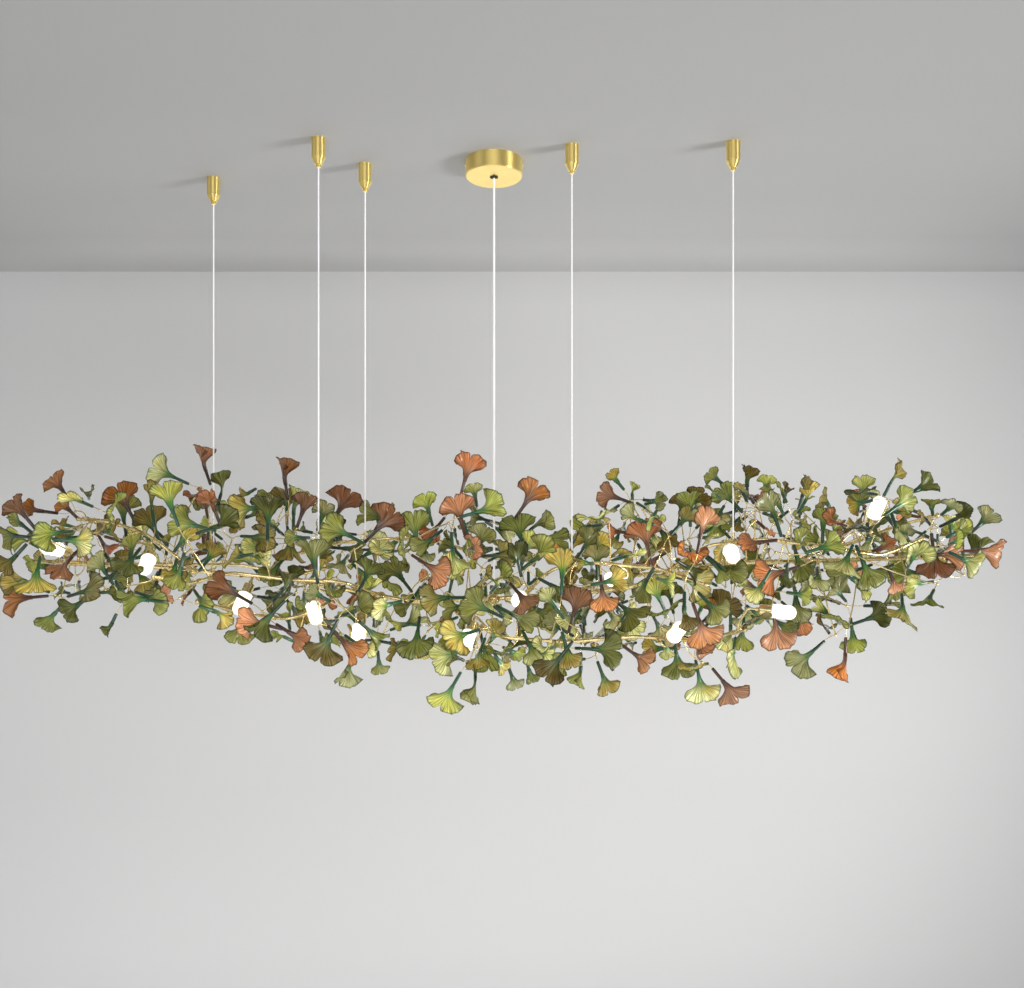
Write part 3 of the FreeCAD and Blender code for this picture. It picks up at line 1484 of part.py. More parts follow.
def filler_leaf(joint, taken, leaf_mix):
    """A leaf at a spray's joint, or None; taken holds the headings of the wires already there."""
    bend_axis = random_direction()
    leaving = random_direction()
    for heading, parting in taken:
        if leaving.getAngle(heading) < parting:
            return None
    bend = draw.uniform(8, 22)
    bend_axis = across_from(leaving, bend_axis)
    chord = turned_about(leaving, bend_axis, bend)
    axis = turned_about(leaving, bend_axis, 2 * bend)
    mouth = joint + chord * draw.uniform(least_wire_chord, most_wire_chord)
    base = mouth + axis * 2
    small_place = base.x > small_from_x and base.z > small_above_z
    size_name = draw.choice(leaf_mix["small" if small_place else "usual"])
    middle = base + axis * fan_middle(size_name)
    limits = fill_limits(middle.x)
    if limits is None or not limits[0] < middle.z < limits[1] or abs(middle.y) > fill_depth:
        return None
    face = across_from(axis, Vector(0, -1, 0.3) + random_direction() * 0.9)
    if draw.random() < 0.3:
        face = face * -1
    turn = 80 if draw.random() < 0.2 else 0
    leaf = Leaf((size_name, shape_for(turn)), draw.random() < amber_share, base, axis, face)
    leaf.leaving = leaving
    leaf.mouth = mouth
    return leaf


def wire_samples(joint, leaf):
    """Sample balls along a leaf's wire, from clear of the joint to the leaf."""
    edge = arc_path(leaf.mouth, leaf.axis * -1, joint)
    points = edge.discretize(Number=max(3, int(edge.Length / 5)))
    away = [point for point in points if (point - joint).Length > size.joint_diameter]
    return [(point, size.wire_diameter / 2 + wire_margin) for point in away]


def stem_route(seat, joint):
    """Stem from a limb to a joint: (outward, foot, heading there, its samples, heading back)."""
    way = joint - seat.point
    angle = seat.heading.getAngle(way)
    if min(angle, math.pi - angle) < least_stem_angle:
        return None
    outward = across_from(seat.heading, way)
    foot = foot_middle(seat, outward, size.foot_diameter)
    chord = joint - foot
    leaving = (outward + Vector(chord).normalize()).normalize()
    if leaving.getAngle(chord) > most_stem_bend:
        return None
    edge = arc_path(foot, leaving, joint)
    arriving = mirrored_heading(leaving, chord)
    points = edge.discretize(Number=max(3, int(edge.Length / 5)))
    samples = [
        (point, size.stem_diameter / 2 + wire_margin)
        for point in points
        if (point - seat.point).Length > seat.limb.diameter + size.stem_diameter + wire_margin
        and (point - joint).Length > size.joint_diameter
    ]
    return outward, foot, leaving, samples, arriving * -1


class Spray:
    def __init__(self, seat, joint, outward, foot, leaving):
        self.seat = seat
        self.joint = joint
        self.outward = outward
        self.foot = foot
        self.leaving = leaving
        self.leaves = []


sprays = []


def grow(joint, first_leaf, wanted, leaf_mix=first_mix, least_share=0.0, fewest=1):
    """Hold a first leaf, if there is one, and its neighbours on a new spray from the nearest free seat."""
    headings = []
    first_samples = []
    if first_leaf:
        headings.append((first_leaf.leaving, wire_parting))
        first_samples = first_leaf.samples + wire_samples(joint, first_leaf)
        if not room.free(first_samples):
            return False
    joint_samples = [(joint, joint_radius + wire_margin)]
    if not room.free(joint_samples):
        return False
    for seat in nearest_seats(joint, 60)[::4]:
        route = stem_route(seat, joint)
        if route is None:
            continue
        outward, foot, leaving, stem_samples, back = route
        if first_leaf and first_leaf.leaving.getAngle(back) < stem_parting:
            continue
        if not room.free(stem_samples):
            continue
        own = Room()
        own.add(stem_samples)
        if first_leaf and not own.free(first_samples):
            continue
        spray = Spray(seat, joint, outward, foot, leaving)
        own.add(first_samples)
        if first_leaf:
            spray.leaves.append(first_leaf)
        taken = headings + [(back, stem_parting)]
        kept = list(first_samples)
        for attempt in range(leaf_tries):
            if len(spray.leaves) >= wanted:
                break
            leaf = filler_leaf(joint, taken, leaf_mix)
            if leaf is None or not fills_gap(leaf, least_share):
                continue
            if not room.free(leaf.samples) or not own.free(leaf.samples):
                continue
            samples = wire_samples(joint, leaf)
            if not room.free(samples) or not own.free(samples):
                continue
            spray.leaves.append(leaf)
            taken.append((leaf.leaving, wire_parting))
            own.add(leaf.samples + samples)
            kept += leaf.samples + samples
        if len(spray.leaves) < fewest:
            return False
        for leaf in spray.leaves:
            hidden_cells.update(front_cells(leaf))
        room.add(kept + stem_samples + joint_samples)
        room.add([(seat.point, seat.limb.diameter / 2 + size.collar_length / 2)])
        block_seats(seat.point, collar_room)
        sprays.append(spray)
        return True
    return False


def grow_outline(rows, amber, wanted):
    missing = 0
    for row in rows:
        done = False
        for shift in (0, 20, -20, 40, -40, 60, -60, 80, -80):
            leaf = outline_leaf(row, amber, shift)
            if not room.free(leaf.samples):
                continue
            mouth = leaf.base - leaf.axis * 2
            for bend in (12, -12, 22, -22, 2):
                bend_axis = across_from(leaf.axis, Vector(0, 1, 0))
                leaf.leaving = turned_about(leaf.axis, bend_axis, 2 * bend)
                chord = turned_about(leaf.axis, bend_axis, bend)
                leaf.mouth = mouth
                if grow(mouth - chord * wire_lead, leaf, wanted):
                    done = True
                    break
            if done:
                break
        missing += not done
    return missing


missing = grow_outline(AMBER_OUTLINE, True, 3) + grow_outline(GREEN_OUTLINE, False, 4)
print(f"outline leaves without a place: {missing}")


def leaf_count():
    return sum(len(spray.leaves) for spray in sprays)


def grow_fill(wanted, tries, leaf_mix, forward, least_share, fewest):
    """Sprays between the outline ones, until there are as many leaves as wanted."""
    for attempt in range(tries):
        if leaf_count() >= wanted:
            break
        limb = draw.choice(limbs + [trunk_left, trunk_right])
        start, heading, length = draw.choice(limb.spans)
        outward = across_from(heading, random_direction() - Vector(0, forward, 0))
        joint = start + heading * draw.uniform(0, length) + outward * draw.uniform(34, 120)
        limits = fill_limits(joint.x)
        if limits and limits[0] < joint.z < limits[1]:
            grow(joint, None, 5, leaf_mix, least_share, fewest)


grow_fill(first_leaves, spray_tries, first_mix, 0.0, 0.0, 1)
grow_fill(leaves_wanted, gap_tries, gap_mix, gap_forward, gap_share, 2)
print(f"{len(sprays)} sprays with {leaf_count()} leaves")


def sunk_end(ball_diameter, wire_diameter):
    """How far from a ball's middle a wire ends so that its end is just inside the ball."""
    return math.sqrt(ball_diameter**2 - wire_diameter**2) / 2 - wire_sink


def spray_solid(spray):
    """Collar, stem, solder balls and leaf wires of one spray in one piece."""
    collar = collar_solid(spray.seat, spray.outward)
    back = mirrored_heading(spray.leaving, spray.joint - spray.foot) * -1
    stem_end = spray.joint + back * sunk_end(size.joint_diameter, size.stem_diameter)
    wires = [pipe([arc_path(spray.foot, spray.leaving, stem_end)], size.stem_diameter)]
    joint_cones = [wire_cone(back, size.stem_diameter, size.joint_diameter)]
    for leaf in spray.leaves:
        joint_cones.append(wire_cone(leaf.leaving, size.wire_diameter, size.joint_diameter))
        start = spray.joint + leaf.leaving * sunk_end(size.joint_diameter, size.wire_diameter)
        seated = leaf.base + leaf.axis * (size.leaf_bore_depth - 1)
        straight = Part.LineSegment(seated, leaf.mouth).toShape()
        curve = arc_path(leaf.mouth, leaf.axis * -1, start)
        wires.append(pipe([straight, curve], size.wire_diameter))
    foot_cones = [
        wire_cone(spray.leaving, size.stem_diameter, size.foot_diameter),
        collar_cone(spray.outward, size.foot_diameter),
    ]
    foot_ball = solder_ball(size.foot_diameter, spray.foot, foot_cones)
    joint_ball = solder_ball(size.joint_diameter, spray.joint, joint_cones)
    solid = collar.fuse([foot_ball, joint_ball] + wires)
    if len(solid.Solids) != 1 or not solid.isValid():
        raise ValueError(f"a spray at {spray.seat.point} is not one solid")
    return solid.Solids[0]


LEAF_ZONES = [("left", -300.0), ("middle", 300.0), ("right", 1e6)]
TWIG_ZONES = [
    ("left_end", -640.0),
    ("left", -300.0),
    ("middle_left", 0.0),
    ("middle_right", 300.0),
    ("right", 640.0),
    ("right_end", 1e6),
]


def zone_of(point, zones):
    return next(name for name, limit in zones if point.x < limit)


spray_groups = {}
leaf_groups = {}
for spray in sprays:
    name = f"twigs_{zone_of(spray.seat.point, TWIG_ZONES)}"
    spray_groups.setdefault(name, []).append(spray_solid(spray))
    for leaf in spray.leaves:
        colour = "amber" if leaf.amber else "green"
        name = f"{colour}_leaves_{zone_of(leaf.base, LEAF_ZONES)}"
        shape = placed(leaf_kinds[leaf.kind], leaf.place.Base, leaf.place.Rotation)
        leaf_groups.setdefault(name, []).append(shape)
for group in (spray_groups, leaf_groups):
    for name in sorted(group):
        keep(name, Part.Compound(group[name]))

doc.recompute()
problems = []
for obj in doc.Objects:
    if "Invalid" in obj.State or "Error" in obj.State:
        problems.append(f"{obj.Name}: {obj.State}")
for name, obj in parts.items():
    if obj.Shape.isNull() or not obj.Shape.isValid() or not obj.Shape.Solids:
        problems.append(f"{name}: shape is not a valid solid")
if problems:
    raise SystemExit("\n".join(problems))
os.makedirs("parts", exist_ok=True)
for name, obj in parts.items():
    obj.Label = name
    obj.Shape.exportStep(f"parts/{name}.step")
print(f"{len(parts)} sub-parts, {sum(len(obj.Shape.Solids) for obj in parts.values())} solids")
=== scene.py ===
import json
import math
import bpy
import bmesh
import numpy as np
from mathutils import Matrix, Vector

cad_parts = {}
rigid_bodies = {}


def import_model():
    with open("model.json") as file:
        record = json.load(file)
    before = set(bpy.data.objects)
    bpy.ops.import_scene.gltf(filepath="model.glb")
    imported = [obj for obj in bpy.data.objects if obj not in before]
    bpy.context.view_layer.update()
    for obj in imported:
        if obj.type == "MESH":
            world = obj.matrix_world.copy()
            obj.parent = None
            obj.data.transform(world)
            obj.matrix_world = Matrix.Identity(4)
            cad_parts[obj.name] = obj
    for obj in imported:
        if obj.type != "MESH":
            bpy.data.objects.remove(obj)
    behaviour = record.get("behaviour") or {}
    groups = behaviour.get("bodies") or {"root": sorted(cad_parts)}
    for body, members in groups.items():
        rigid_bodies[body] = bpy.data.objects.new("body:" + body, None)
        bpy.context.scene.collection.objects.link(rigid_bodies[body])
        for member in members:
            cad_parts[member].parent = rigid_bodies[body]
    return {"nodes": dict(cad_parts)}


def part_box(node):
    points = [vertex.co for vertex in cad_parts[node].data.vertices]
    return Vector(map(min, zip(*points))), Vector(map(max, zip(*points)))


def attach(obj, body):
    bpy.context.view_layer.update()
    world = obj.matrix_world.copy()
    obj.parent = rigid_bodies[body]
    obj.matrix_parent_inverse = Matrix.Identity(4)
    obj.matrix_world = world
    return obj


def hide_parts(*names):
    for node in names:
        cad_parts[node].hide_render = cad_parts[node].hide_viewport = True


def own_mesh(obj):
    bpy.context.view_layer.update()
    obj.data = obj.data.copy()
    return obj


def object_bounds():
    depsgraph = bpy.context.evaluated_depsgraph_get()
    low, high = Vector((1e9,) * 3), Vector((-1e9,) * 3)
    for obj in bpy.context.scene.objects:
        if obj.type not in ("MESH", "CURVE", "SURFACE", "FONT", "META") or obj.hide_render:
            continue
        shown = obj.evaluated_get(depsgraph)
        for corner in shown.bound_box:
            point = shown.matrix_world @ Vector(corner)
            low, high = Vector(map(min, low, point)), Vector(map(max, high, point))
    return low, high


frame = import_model()
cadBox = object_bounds()
nodes = frame["nodes"]
scene = bpy.context.scene


# camera, level, facing the lamp
view = {
    "eye": (0.038, -2.01, -0.875),
    "focalPixels": 950.0,  # focal length in image pixels
    "imageWidth": 1024.0,
    "imageHeight": 988.0,
    "horizonRow": 575.0,  # image row at eye height
    "sensorWidth": 36.0,
    "farthest": 50.0,
}


def makeCamera():
    lens = bpy.data.cameras.new("roomCamera")
    lens.sensor_width = view["sensorWidth"]
    lens.lens = view["focalPixels"] / view["imageWidth"] * view["sensorWidth"]
    lens.shift_y = (view["horizonRow"] - view["imageHeight"] / 2) / view["imageWidth"]
    lens.clip_end = view["farthest"]
    camera = bpy.data.objects.new("roomCamera", lens)
    camera.location = view["eye"]
    camera.rotation_euler = (math.radians(90), 0, 0)
    scene.collection.objects.link(camera)
    scene.camera = camera


# node helpers

def newMaterial(name):
    material = bpy.data.materials.new(name)
    material.use_nodes = True
    tree = material.node_tree
    tree.nodes.clear()
    return material, tree


def addNode(tree, kind, values=None, **settings):
    node = tree.nodes.new(kind)
    for key, value in settings.items():
        setattr(node, key, value)
    for socket, value in (values or {}).items():
        node.inputs[socket].default_value = value
    return node


def link(tree, start, startSocket, end, endSocket):
    tree.links.new(start.outputs[startSocket], end.inputs[endSocket])


def addRamp(tree, stops):
    ramp = tree.nodes.new("ShaderNodeValToRGB")
    bar = ramp.color_ramp.elements
    for index, (place, colour) in enumerate(stops):
        stop = bar[index] if index < 2 else bar.new(place)
        stop.position = place
        stop.color = (*colour, 1)
    return ramp


def noisePattern(tree, scale, stretch=(1, 1, 1), **values):
    coordinates = tree.nodes.new("ShaderNodeTexCoord")
    mapping = addNode(tree, "ShaderNodeMapping", {"Scale": stretch})
    pattern = addNode(tree, "ShaderNodeTexNoise", {"Scale": scale, **values})
    link(tree, coordinates, "Object", mapping, "Vector")
    link(tree, mapping, "Vector", pattern, "Vector")
    return pattern


def spreadValue(tree, source, low, high, fromLow=0.3, fromHigh=0.7):
    spread = addNode(tree, "ShaderNodeMapRange", {
        "From Min": fromLow, "From Max": fromHigh, "To Min": low, "To Max": high,
    })
    tree.links.new(source, spread.inputs["Value"])
    return spread.outputs[0]


def addBump(tree, height, shader, strength, distance):
    bump = addNode(tree, "ShaderNodeBump", {"Strength": strength, "Distance": distance})
    link(tree, height, "Fac", bump, "Height")
    link(tree, bump, "Normal", shader, "Normal")


def calc(tree, operation, *terms):
    node = addNode(tree, "ShaderNodeMath", operation=operation)
    for index, term in enumerate(terms):
        if isinstance(term, (int, float)):
            node.inputs[index].default_value = term
        else:
            tree.links.new(term, node.inputs[index])
    return node.outputs[0]


def mixColours(tree, factor, first, second):
    mix = addNode(tree, "ShaderNodeMix", data_type="RGBA")
    tree.links.new(factor, mix.inputs[0])
    tree.links.new(first, mix.inputs[6])
    tree.links.new(second, mix.inputs[7])
    return mix.outputs[2]


def scaleColour(tree, colour, factor):
    scaled = addNode(tree, "ShaderNodeVectorMath", operation="SCALE")
    tree.links.new(colour, scaled.inputs[0])
    tree.links.new(factor, scaled.inputs["Scale"])
    return scaled.outputs[0]


def mixShaders(tree, factor, first, second):
    mix = tree.nodes.new("ShaderNodeMixShader")
    tree.links.new(factor, mix.inputs[0])
    tree.links.new(first.outputs[0], mix.inputs[1])
    tree.links.new(second.outputs[0], mix.inputs[2])
    return mix


def finishMaterial(tree, shader):
    output = tree.nodes.new("ShaderNodeOutputMaterial")
    link(tree, shader, 0, output, "Surface")


# metals, plastics and glass

metals = {
    "polishedGold": {
        "dark": (0.86, 0.66, 0.22), "light": (0.94, 0.75, 0.28), "smooth": 0.40, "rough": 0.46,
        "scale": 25.0, "stretch": (1, 1, 0.08), "bump": 0.004, "turned": 0.95,
    },
    "branchGold": {
        "dark": (0.66, 0.50, 0.20), "light": (0.94, 0.80, 0.46), "smooth": 0.16, "rough": 0.30,
        "scale": 140.0, "stretch": (1, 1, 1), "bump": 0.04, "turned": 0.0,
    },
    "zincSteel": {
        "dark": (0.42, 0.43, 0.44), "light": (0.62, 0.63, 0.64), "smooth": 0.35, "rough": 0.55,
        "scale": 300.0, "stretch": (1, 1, 1), "bump": 0.05, "turned": 0.0,
    },
    "springSteel": {
        "dark": (0.30, 0.30, 0.31), "light": (0.52, 0.52, 0.53), "smooth": 0.22, "rough": 0.36,
        "scale": 400.0, "stretch": (1, 1, 1), "bump": 0.03, "turned": 0.0,
    },
}
metalGrain = {
    "tints": (0.32, 0.68),  # cloud values of the dark and the light tint
    "finer": 8,  # times the cloud's scale
    "depth": 0.0004,
    "tilt": 0.02,  # of the lathe's streaks, which run up
}


def makeMetal(name):
    look = metals[name]
    material, tree = newMaterial(name)
    shader = addNode(tree, "ShaderNodeBsdfPrincipled", {"Metallic": 1.0, "Anisotropic": look["turned"]})
    if look["turned"]:
        upright = addNode(tree, "ShaderNodeCombineXYZ", {"X": metalGrain["tilt"], "Z": 1.0})
        link(tree, upright, "Vector", shader, "Tangent")
    cloud = noisePattern(tree, look["scale"], look["stretch"], Detail=4.0, Roughness=0.6)
    tint = addRamp(tree, zip(metalGrain["tints"], (look["dark"], look["light"])))
    link(tree, cloud, "Fac", tint, "Fac")
    link(tree, tint, "Color", shader, "Base Color")
    polish = spreadValue(tree, cloud.outputs["Fac"], look["smooth"], look["rough"])
    tree.links.new(polish, shader.inputs["Roughness"])
    grain = noisePattern(tree, look["scale"] * metalGrain["finer"], look["stretch"], Detail=2.0)
    addBump(tree, grain, shader, look["bump"], metalGrain["depth"])
    finishMaterial(tree, shader)
    return material


plastics = {
    # carried: painted glow, emission that makes the cable and cord shine though they are no lamps
    "darkNylon": {
        "dark": (0.010, 0.008, 0.006), "light": (0.022, 0.018, 0.014), "rough": 0.45, "scale": 500.0,
        "carried": 0.0,
    },
    "terminalPlastic": {
        "dark": (0.70, 0.70, 0.66), "light": (0.80, 0.80, 0.77), "rough": 0.5, "scale": 300.0,
        "carried": 0.0,
    },
    "lampCeramic": {
        "dark": (0.72, 0.70, 0.64), "light": (0.84, 0.82, 0.78), "rough": 0.25, "scale": 200.0,
        "carried": 0.0,
    },
    "coatedCable": {
        "dark": (0.86, 0.86, 0.86), "light": (0.96, 0.96, 0.96), "rough": 0.18, "scale": 260.0,
        "carried": 0.24,
    },
    "paleCord": {
        "dark": (0.86, 0.86, 0.86), "light": (0.96, 0.96, 0.96), "rough": 0.25, "scale": 200.0,
        "carried": 0.24,
    },
}
plasticGrain = {
    "tints": (0.35, 0.65),
    "bump": 0.05,
    "depth": 0.0003,
}


def makePlastic(name):
    look = plastics[name]
    material, tree = newMaterial(name)
    # the cable and cord get a painted glow from their emission, though they are no lamps
    shader = addNode(tree, "ShaderNodeBsdfPrincipled", {
        "Roughness": look["rough"], "IOR": 1.5,
        "Emission Color": (1, 1, 1, 1), "Emission Strength": look["carried"],
    })
    cloud = noisePattern(tree, look["scale"], Detail=3.0)
    tint = addRamp(tree, zip(plasticGrain["tints"], (look["dark"], look["light"])))
    link(tree, cloud, "Fac", tint, "Fac")
    link(tree, tint, "Color", shader, "Base Color")
    addBump(tree, cloud, shader, plasticGrain["bump"], plasticGrain["depth"])
    finishMaterial(tree, shader)
    return material


glow = {
    # clear: share of what lies behind that shows, from the middle to where the glass is seen at a slant
    "frostedGlass": {
        "base": (0.9, 0.88, 0.82, 1), "light": (1.0, 0.97, 0.86, 1), "strength": 1.0, "rough": 0.5,
        "clear": (0.3, 0.97),
    },
    "litStick": {
        "base": (0.9, 0.85, 0.6, 1), "light": (1.0, 0.90, 0.62, 1), "strength": 22.0, "rough": 0.4,
        "clear": (0.0, 0.0),
    },
}
frostLook = {
    "scale": 900.0,
    "bump": 0.15,
    "depth": 0.0002,
    "slant": (0.2, 0.8),  # where the change from middle to rim begins and ends
}


def makeGlow(name):
    look = glow[name]
    material, tree = newMaterial(name)
    shader = addNode(tree, "ShaderNodeBsdfPrincipled", {
        "Base Color": look["base"], "Roughness": look["rough"],
        "Emission Color": look["light"], "Emission Strength": look["strength"],
    })
    frost = noisePattern(tree, frostLook["scale"], Detail=2.0)
    addBump(tree, frost, shader, frostLook["bump"], frostLook["depth"])
    slant = tree.nodes.new("ShaderNodeLayerWeight").outputs["Facing"]
    clearness = spreadValue(tree, slant, *look["clear"], *frostLook["slant"])
    clear = tree.nodes.new("ShaderNodeBsdfTransparent")
    finishMaterial(tree, mixShaders(tree, clearness, shader, clear))
    return material


# cast resin of the leaves, along the leaf from the wire (0) to the rim (1)

resins = {
    "greenResin": {
        "vein": (0.060, 0.190, 0.040),
        "along": [
            (0.0, (0.010, 0.044, 0.026)), (0.28, (0.014, 0.062, 0.030)), (0.38, (0.034, 0.140, 0.034)),
            (0.50, (0.130, 0.220, 0.034)), (0.64, (0.400, 0.420, 0.095)), (0.84, (0.640, 0.620, 0.220)),
            (0.93, (0.740, 0.730, 0.380)), (1.0, (0.120, 0.130, 0.034)),
        ],
        "tints": [
            (0.0, (0.200, 0.220, 0.024)), (0.2, (0.500, 0.540, 0.180)), (0.42, (0.600, 0.590, 0.190)),
            (0.62, (0.900, 0.910, 0.680)), (0.8, (0.800, 0.640, 0.220)), (1.0, (0.400, 0.250, 0.050)),
        ],
    },
    "amberResin": {
        "vein": (0.260, 0.085, 0.036),
        "along": [
            (0.0, (0.034, 0.014, 0.014)), (0.28, (0.054, 0.020, 0.014)), (0.38, (0.130, 0.048, 0.022)),
            (0.50, (0.290, 0.112, 0.044)), (0.64, (0.540, 0.262, 0.110)), (0.84, (0.700, 0.400, 0.200)),
            (0.93, (0.780, 0.500, 0.300)), (1.0, (0.170, 0.076, 0.036)),
        ],
        "tints": [
            (0.0, (0.560, 0.240, 0.110)), (0.35, (0.780, 0.460, 0.250)), (0.7, (0.820, 0.600, 0.460)),
            (1.0, (0.880, 0.460, 0.070)),
        ],
    },
}
resinLook = {
    "veinsAcross": 30.0,
    "veinsAlong": 1.2,
    "veinNoise": (0.32, 0.66),  # noise values of the darkest and the lightest veins
    "veinDark": 0.44,
    "veinLight": 1.6,
    "veinTint": 0.6,  # how far the darkest veins take the vein's own colour
    "veinTinted": (0.34, 0.52),  # noise values between which that colour fades out
    "veinBump": 0.6,
    "veinDepth": 0.0009,
    "fan": (0.48, 0.8),  # places along the leaf where the fan's own look begins and is full
    "rim": (0.92, 0.99),  # and where the dark rim does
    "thin": (0.4, 0.75),  # and where the resin thins out
    "tint": 0.62,  # how far a leaf's own tint covers the fan
    "patchScale": 34.0,
    "patchShare": 0.5,  # how far the tint wanders within one leaf
    "dim": 0.5,  # brightness of the darkest and lightest leaves
    "bright": 1.6,
    "edgeFrom": 0.72,  # share of the half width where the sides begin to darken
    "edgeShade": 0.4,  # brightness along the fan's two sides
    "roughness": 0.2,
    "coat": 0.4,
    "coatRoughness": 0.08,
    "throughNeck": 0.05,  # share of the light that passes through the neck and the fan
    "through": 0.55,
    "clear": 0.33,  # share of what lies behind that shows through the fan
    "veinDraw": 370.0,  # these two make further draws from the leaf's tone
    "levelDraw": 7.3,
}


def leafVeins(tree, across, along, tone):
    place = tree.nodes.new("ShaderNodeCombineXYZ")
    shift = calc(tree, "MULTIPLY", tone, resinLook["veinDraw"])
    column = calc(tree, "MULTIPLY_ADD", across, resinLook["veinsAcross"], shift)
    row = calc(tree, "MULTIPLY", along, resinLook["veinsAlong"])
    tree.links.new(column, place.inputs["X"])
    tree.links.new(row, place.inputs["Y"])
    veins = addNode(tree, "ShaderNodeTexNoise", {"Scale": 1.0, "Detail": 3.0, "Roughness": 0.6})
    link(tree, place, 0, veins, "Vector")
    return veins


def leafShade(tree, across, tone, noise):
    draw = calc(tree, "FRACT", calc(tree, "MULTIPLY", tone, resinLook["levelDraw"]))
    level = calc(tree, "MULTIPLY_ADD", draw, resinLook["bright"] - resinLook["dim"], resinLook["dim"])
    dark, light = resinLook["veinDark"], resinLook["veinLight"]
    veinShade = spreadValue(tree, noise, dark, light, *resinLook["veinNoise"])
    fromMiddle = calc(tree, "ABSOLUTE", calc(tree, "MULTIPLY_ADD", across, 2.0, -1.0))
    edge = spreadValue(tree, fromMiddle, 1.0, resinLook["edgeShade"], resinLook["edgeFrom"], 1.0)
    return calc(tree, "MULTIPLY", calc(tree, "MULTIPLY", level, veinShade), edge)


def makeResin(name):
    look = resins[name]
    material, tree = newMaterial(name)
    uv = addNode(tree, "ShaderNodeUVMap", uv_map="leafPlace")
    tone = addNode(tree, "ShaderNodeAttribute", attribute_name="leafTone").outputs["Fac"]
    parts = tree.nodes.new("ShaderNodeSeparateXYZ")
    link(tree, uv, "UV", parts, "Vector")
    across, along = parts.outputs["X"], parts.outputs["Y"]
    veins = leafVeins(tree, across, along, tone)

    colour = addRamp(tree, look["along"])
    tree.links.new(along, colour.inputs["Fac"])
    fan = spreadValue(tree, along, 0.0, 1.0, *resinLook["fan"])
    inside = spreadValue(tree, along, 1.0, 0.0, *resinLook["rim"])
    cloud = noisePattern(tree, resinLook["patchScale"], Detail=2.0)
    wander = calc(tree, "SUBTRACT", cloud.outputs["Fac"], 0.5)
    tint = addRamp(tree, look["tints"])
    tree.links.new(calc(tree, "MULTIPLY_ADD", wander, resinLook["patchShare"], tone), tint.inputs["Fac"])
    tintShare = calc(tree, "MULTIPLY", calc(tree, "MULTIPLY", fan, inside), resinLook["tint"])
    body = mixColours(tree, tintShare, colour.outputs["Color"], tint.outputs["Color"])
    veinColour = tree.nodes.new("ShaderNodeRGB").outputs[0]
    veinColour.default_value = (*look["vein"], 1)
    noise = veins.outputs["Fac"]
    veinShare = spreadValue(tree, noise, resinLook["veinTint"], 0.0, *resinLook["veinTinted"])
    body = mixColours(tree, veinShare, body, veinColour)
    body = scaleColour(tree, body, leafShade(tree, across, tone, noise))

    shader = addNode(tree, "ShaderNodeBsdfPrincipled", {
        "Roughness": resinLook["roughness"], "IOR": 1.5,
        "Coat Weight": resinLook["coat"], "Coat Roughness": resinLook["coatRoughness"],
    })
    tree.links.new(body, shader.inputs["Base Color"])
    addBump(tree, veins, shader, resinLook["veinBump"], resinLook["veinDepth"])
    passing = addNode(tree, "ShaderNodeBsdfTranslucent")
    tree.links.new(body, passing.inputs["Color"])
    thin = spreadValue(tree, along, resinLook["throughNeck"], resinLook["through"], *resinLook["thin"])
    resin = mixShaders(tree, thin, shader, passing)
    clear = tree.nodes.new("ShaderNodeBsdfTransparent")
    tree.links.new(tint.outputs["Color"], clear.inputs["Color"])
    clearness = calc(tree, "MULTIPLY", fan, resinLook["clear"])
    finishMaterial(tree, mixShaders(tree, clearness, resin, clear))
    return material


# leaves

leaf = {
    # in metres: length of the fan and the sleeve, and where the neck is
    "large": {"fan": 0.057, "sleeve": 0.033, "neck": 0.044},
    "middle": {"fan": 0.044, "sleeve": 0.028, "neck": 0.037},
    "small": {"fan": 0.030, "sleeve": 0.020, "neck": 0.027},
}
leafForm = {
    # in degrees: half the fan's spread, how far its sides roll up, and the wave across it
    "open": {"spread": 57.0, "roll": 22.0, "wave": 7.0},
    "cupped": {"spread": 53.0, "roll": 44.0, "wave": 9.0},
    "rolled": {"spread": 49.0, "roll": 62.0, "wave": 5.0},
}
leafFinish = {
    "neckPlace": 0.36,  # of the way along the leaf, where the fan begins
    "sleevePlace": 0.27,  # and where the sleeve ends
    "sleeveSides": 8,
    "sleeveRadius": 0.0037,
    "sleeve": [(0.0, 0.78), (0.05, 0.92), (0.6, 0.98), (1.0, 1.0)],  # radius along the sleeve
    "root": [(-0.06, 1.0), (0.08, 0.6), (0.2, 0.2)],  # and where it runs out into the fan
    "rootBack": 0.0033,  # from the neck back to where the veins meet
    "rootHalf": [(-0.16, 0.0034), (0.0, 0.0046), (0.3, 0.0030), (1.0, 0.0)],
    "thickness": [(-0.16, 0.0056), (0.0, 0.0044), (0.3, 0.0018), (1.0, 0.0010)],
    "narrow": 0.28,  # spread of the veins at the neck, share of the full spread
    "openAt": 0.82,  # way along the fan at which they are fully spread
    "notchFrom": 0.86,
    "scallop": 0.024,
    "scallopTurns": (19, 2.1),  # over the half spread, and added for each variant
    "ripple": 0.05,  # rim waves, share of the fan's length
    "rippleTurns": (9, 1.7),
    "curl": 0.11,  # rim bends back, share of the fan's length
    "curlFrom": 0.62,
    "curlPull": 0.4,  # how far the curl draws the rim in
    "rows": [-0.14, 0.0, 0.12, 0.24, 0.37, 0.5, 0.63, 0.75, 0.85, 0.93, 1.0],
    "columns": [0.0, 0.035, 0.1, 0.22, 0.36, 0.5, 0.64, 0.78, 0.9, 1.0],
    "outline": [
        (0.0, 0.74), (0.035, 0.90), (0.1, 0.98), (0.36, 1.03), (0.68, 1.0), (0.86, 0.95), (1.0, 0.84),
    ],
}
variants = 3


def leafRay(form, share):
    angle = math.radians(form["spread"] * share)
    roll = math.radians(form["roll"] * abs(share) + form["wave"] * math.sin(3 * math.pi * share))
    across = math.sin(angle)
    return Vector((across * math.cos(roll), math.cos(angle), abs(across) * math.sin(roll)))


def smooth(value):
    value = min(1, max(0, value))
    return value * value * (3 - 2 * value)


def valueAt(places, value):
    return np.interp(value, *zip(*places))


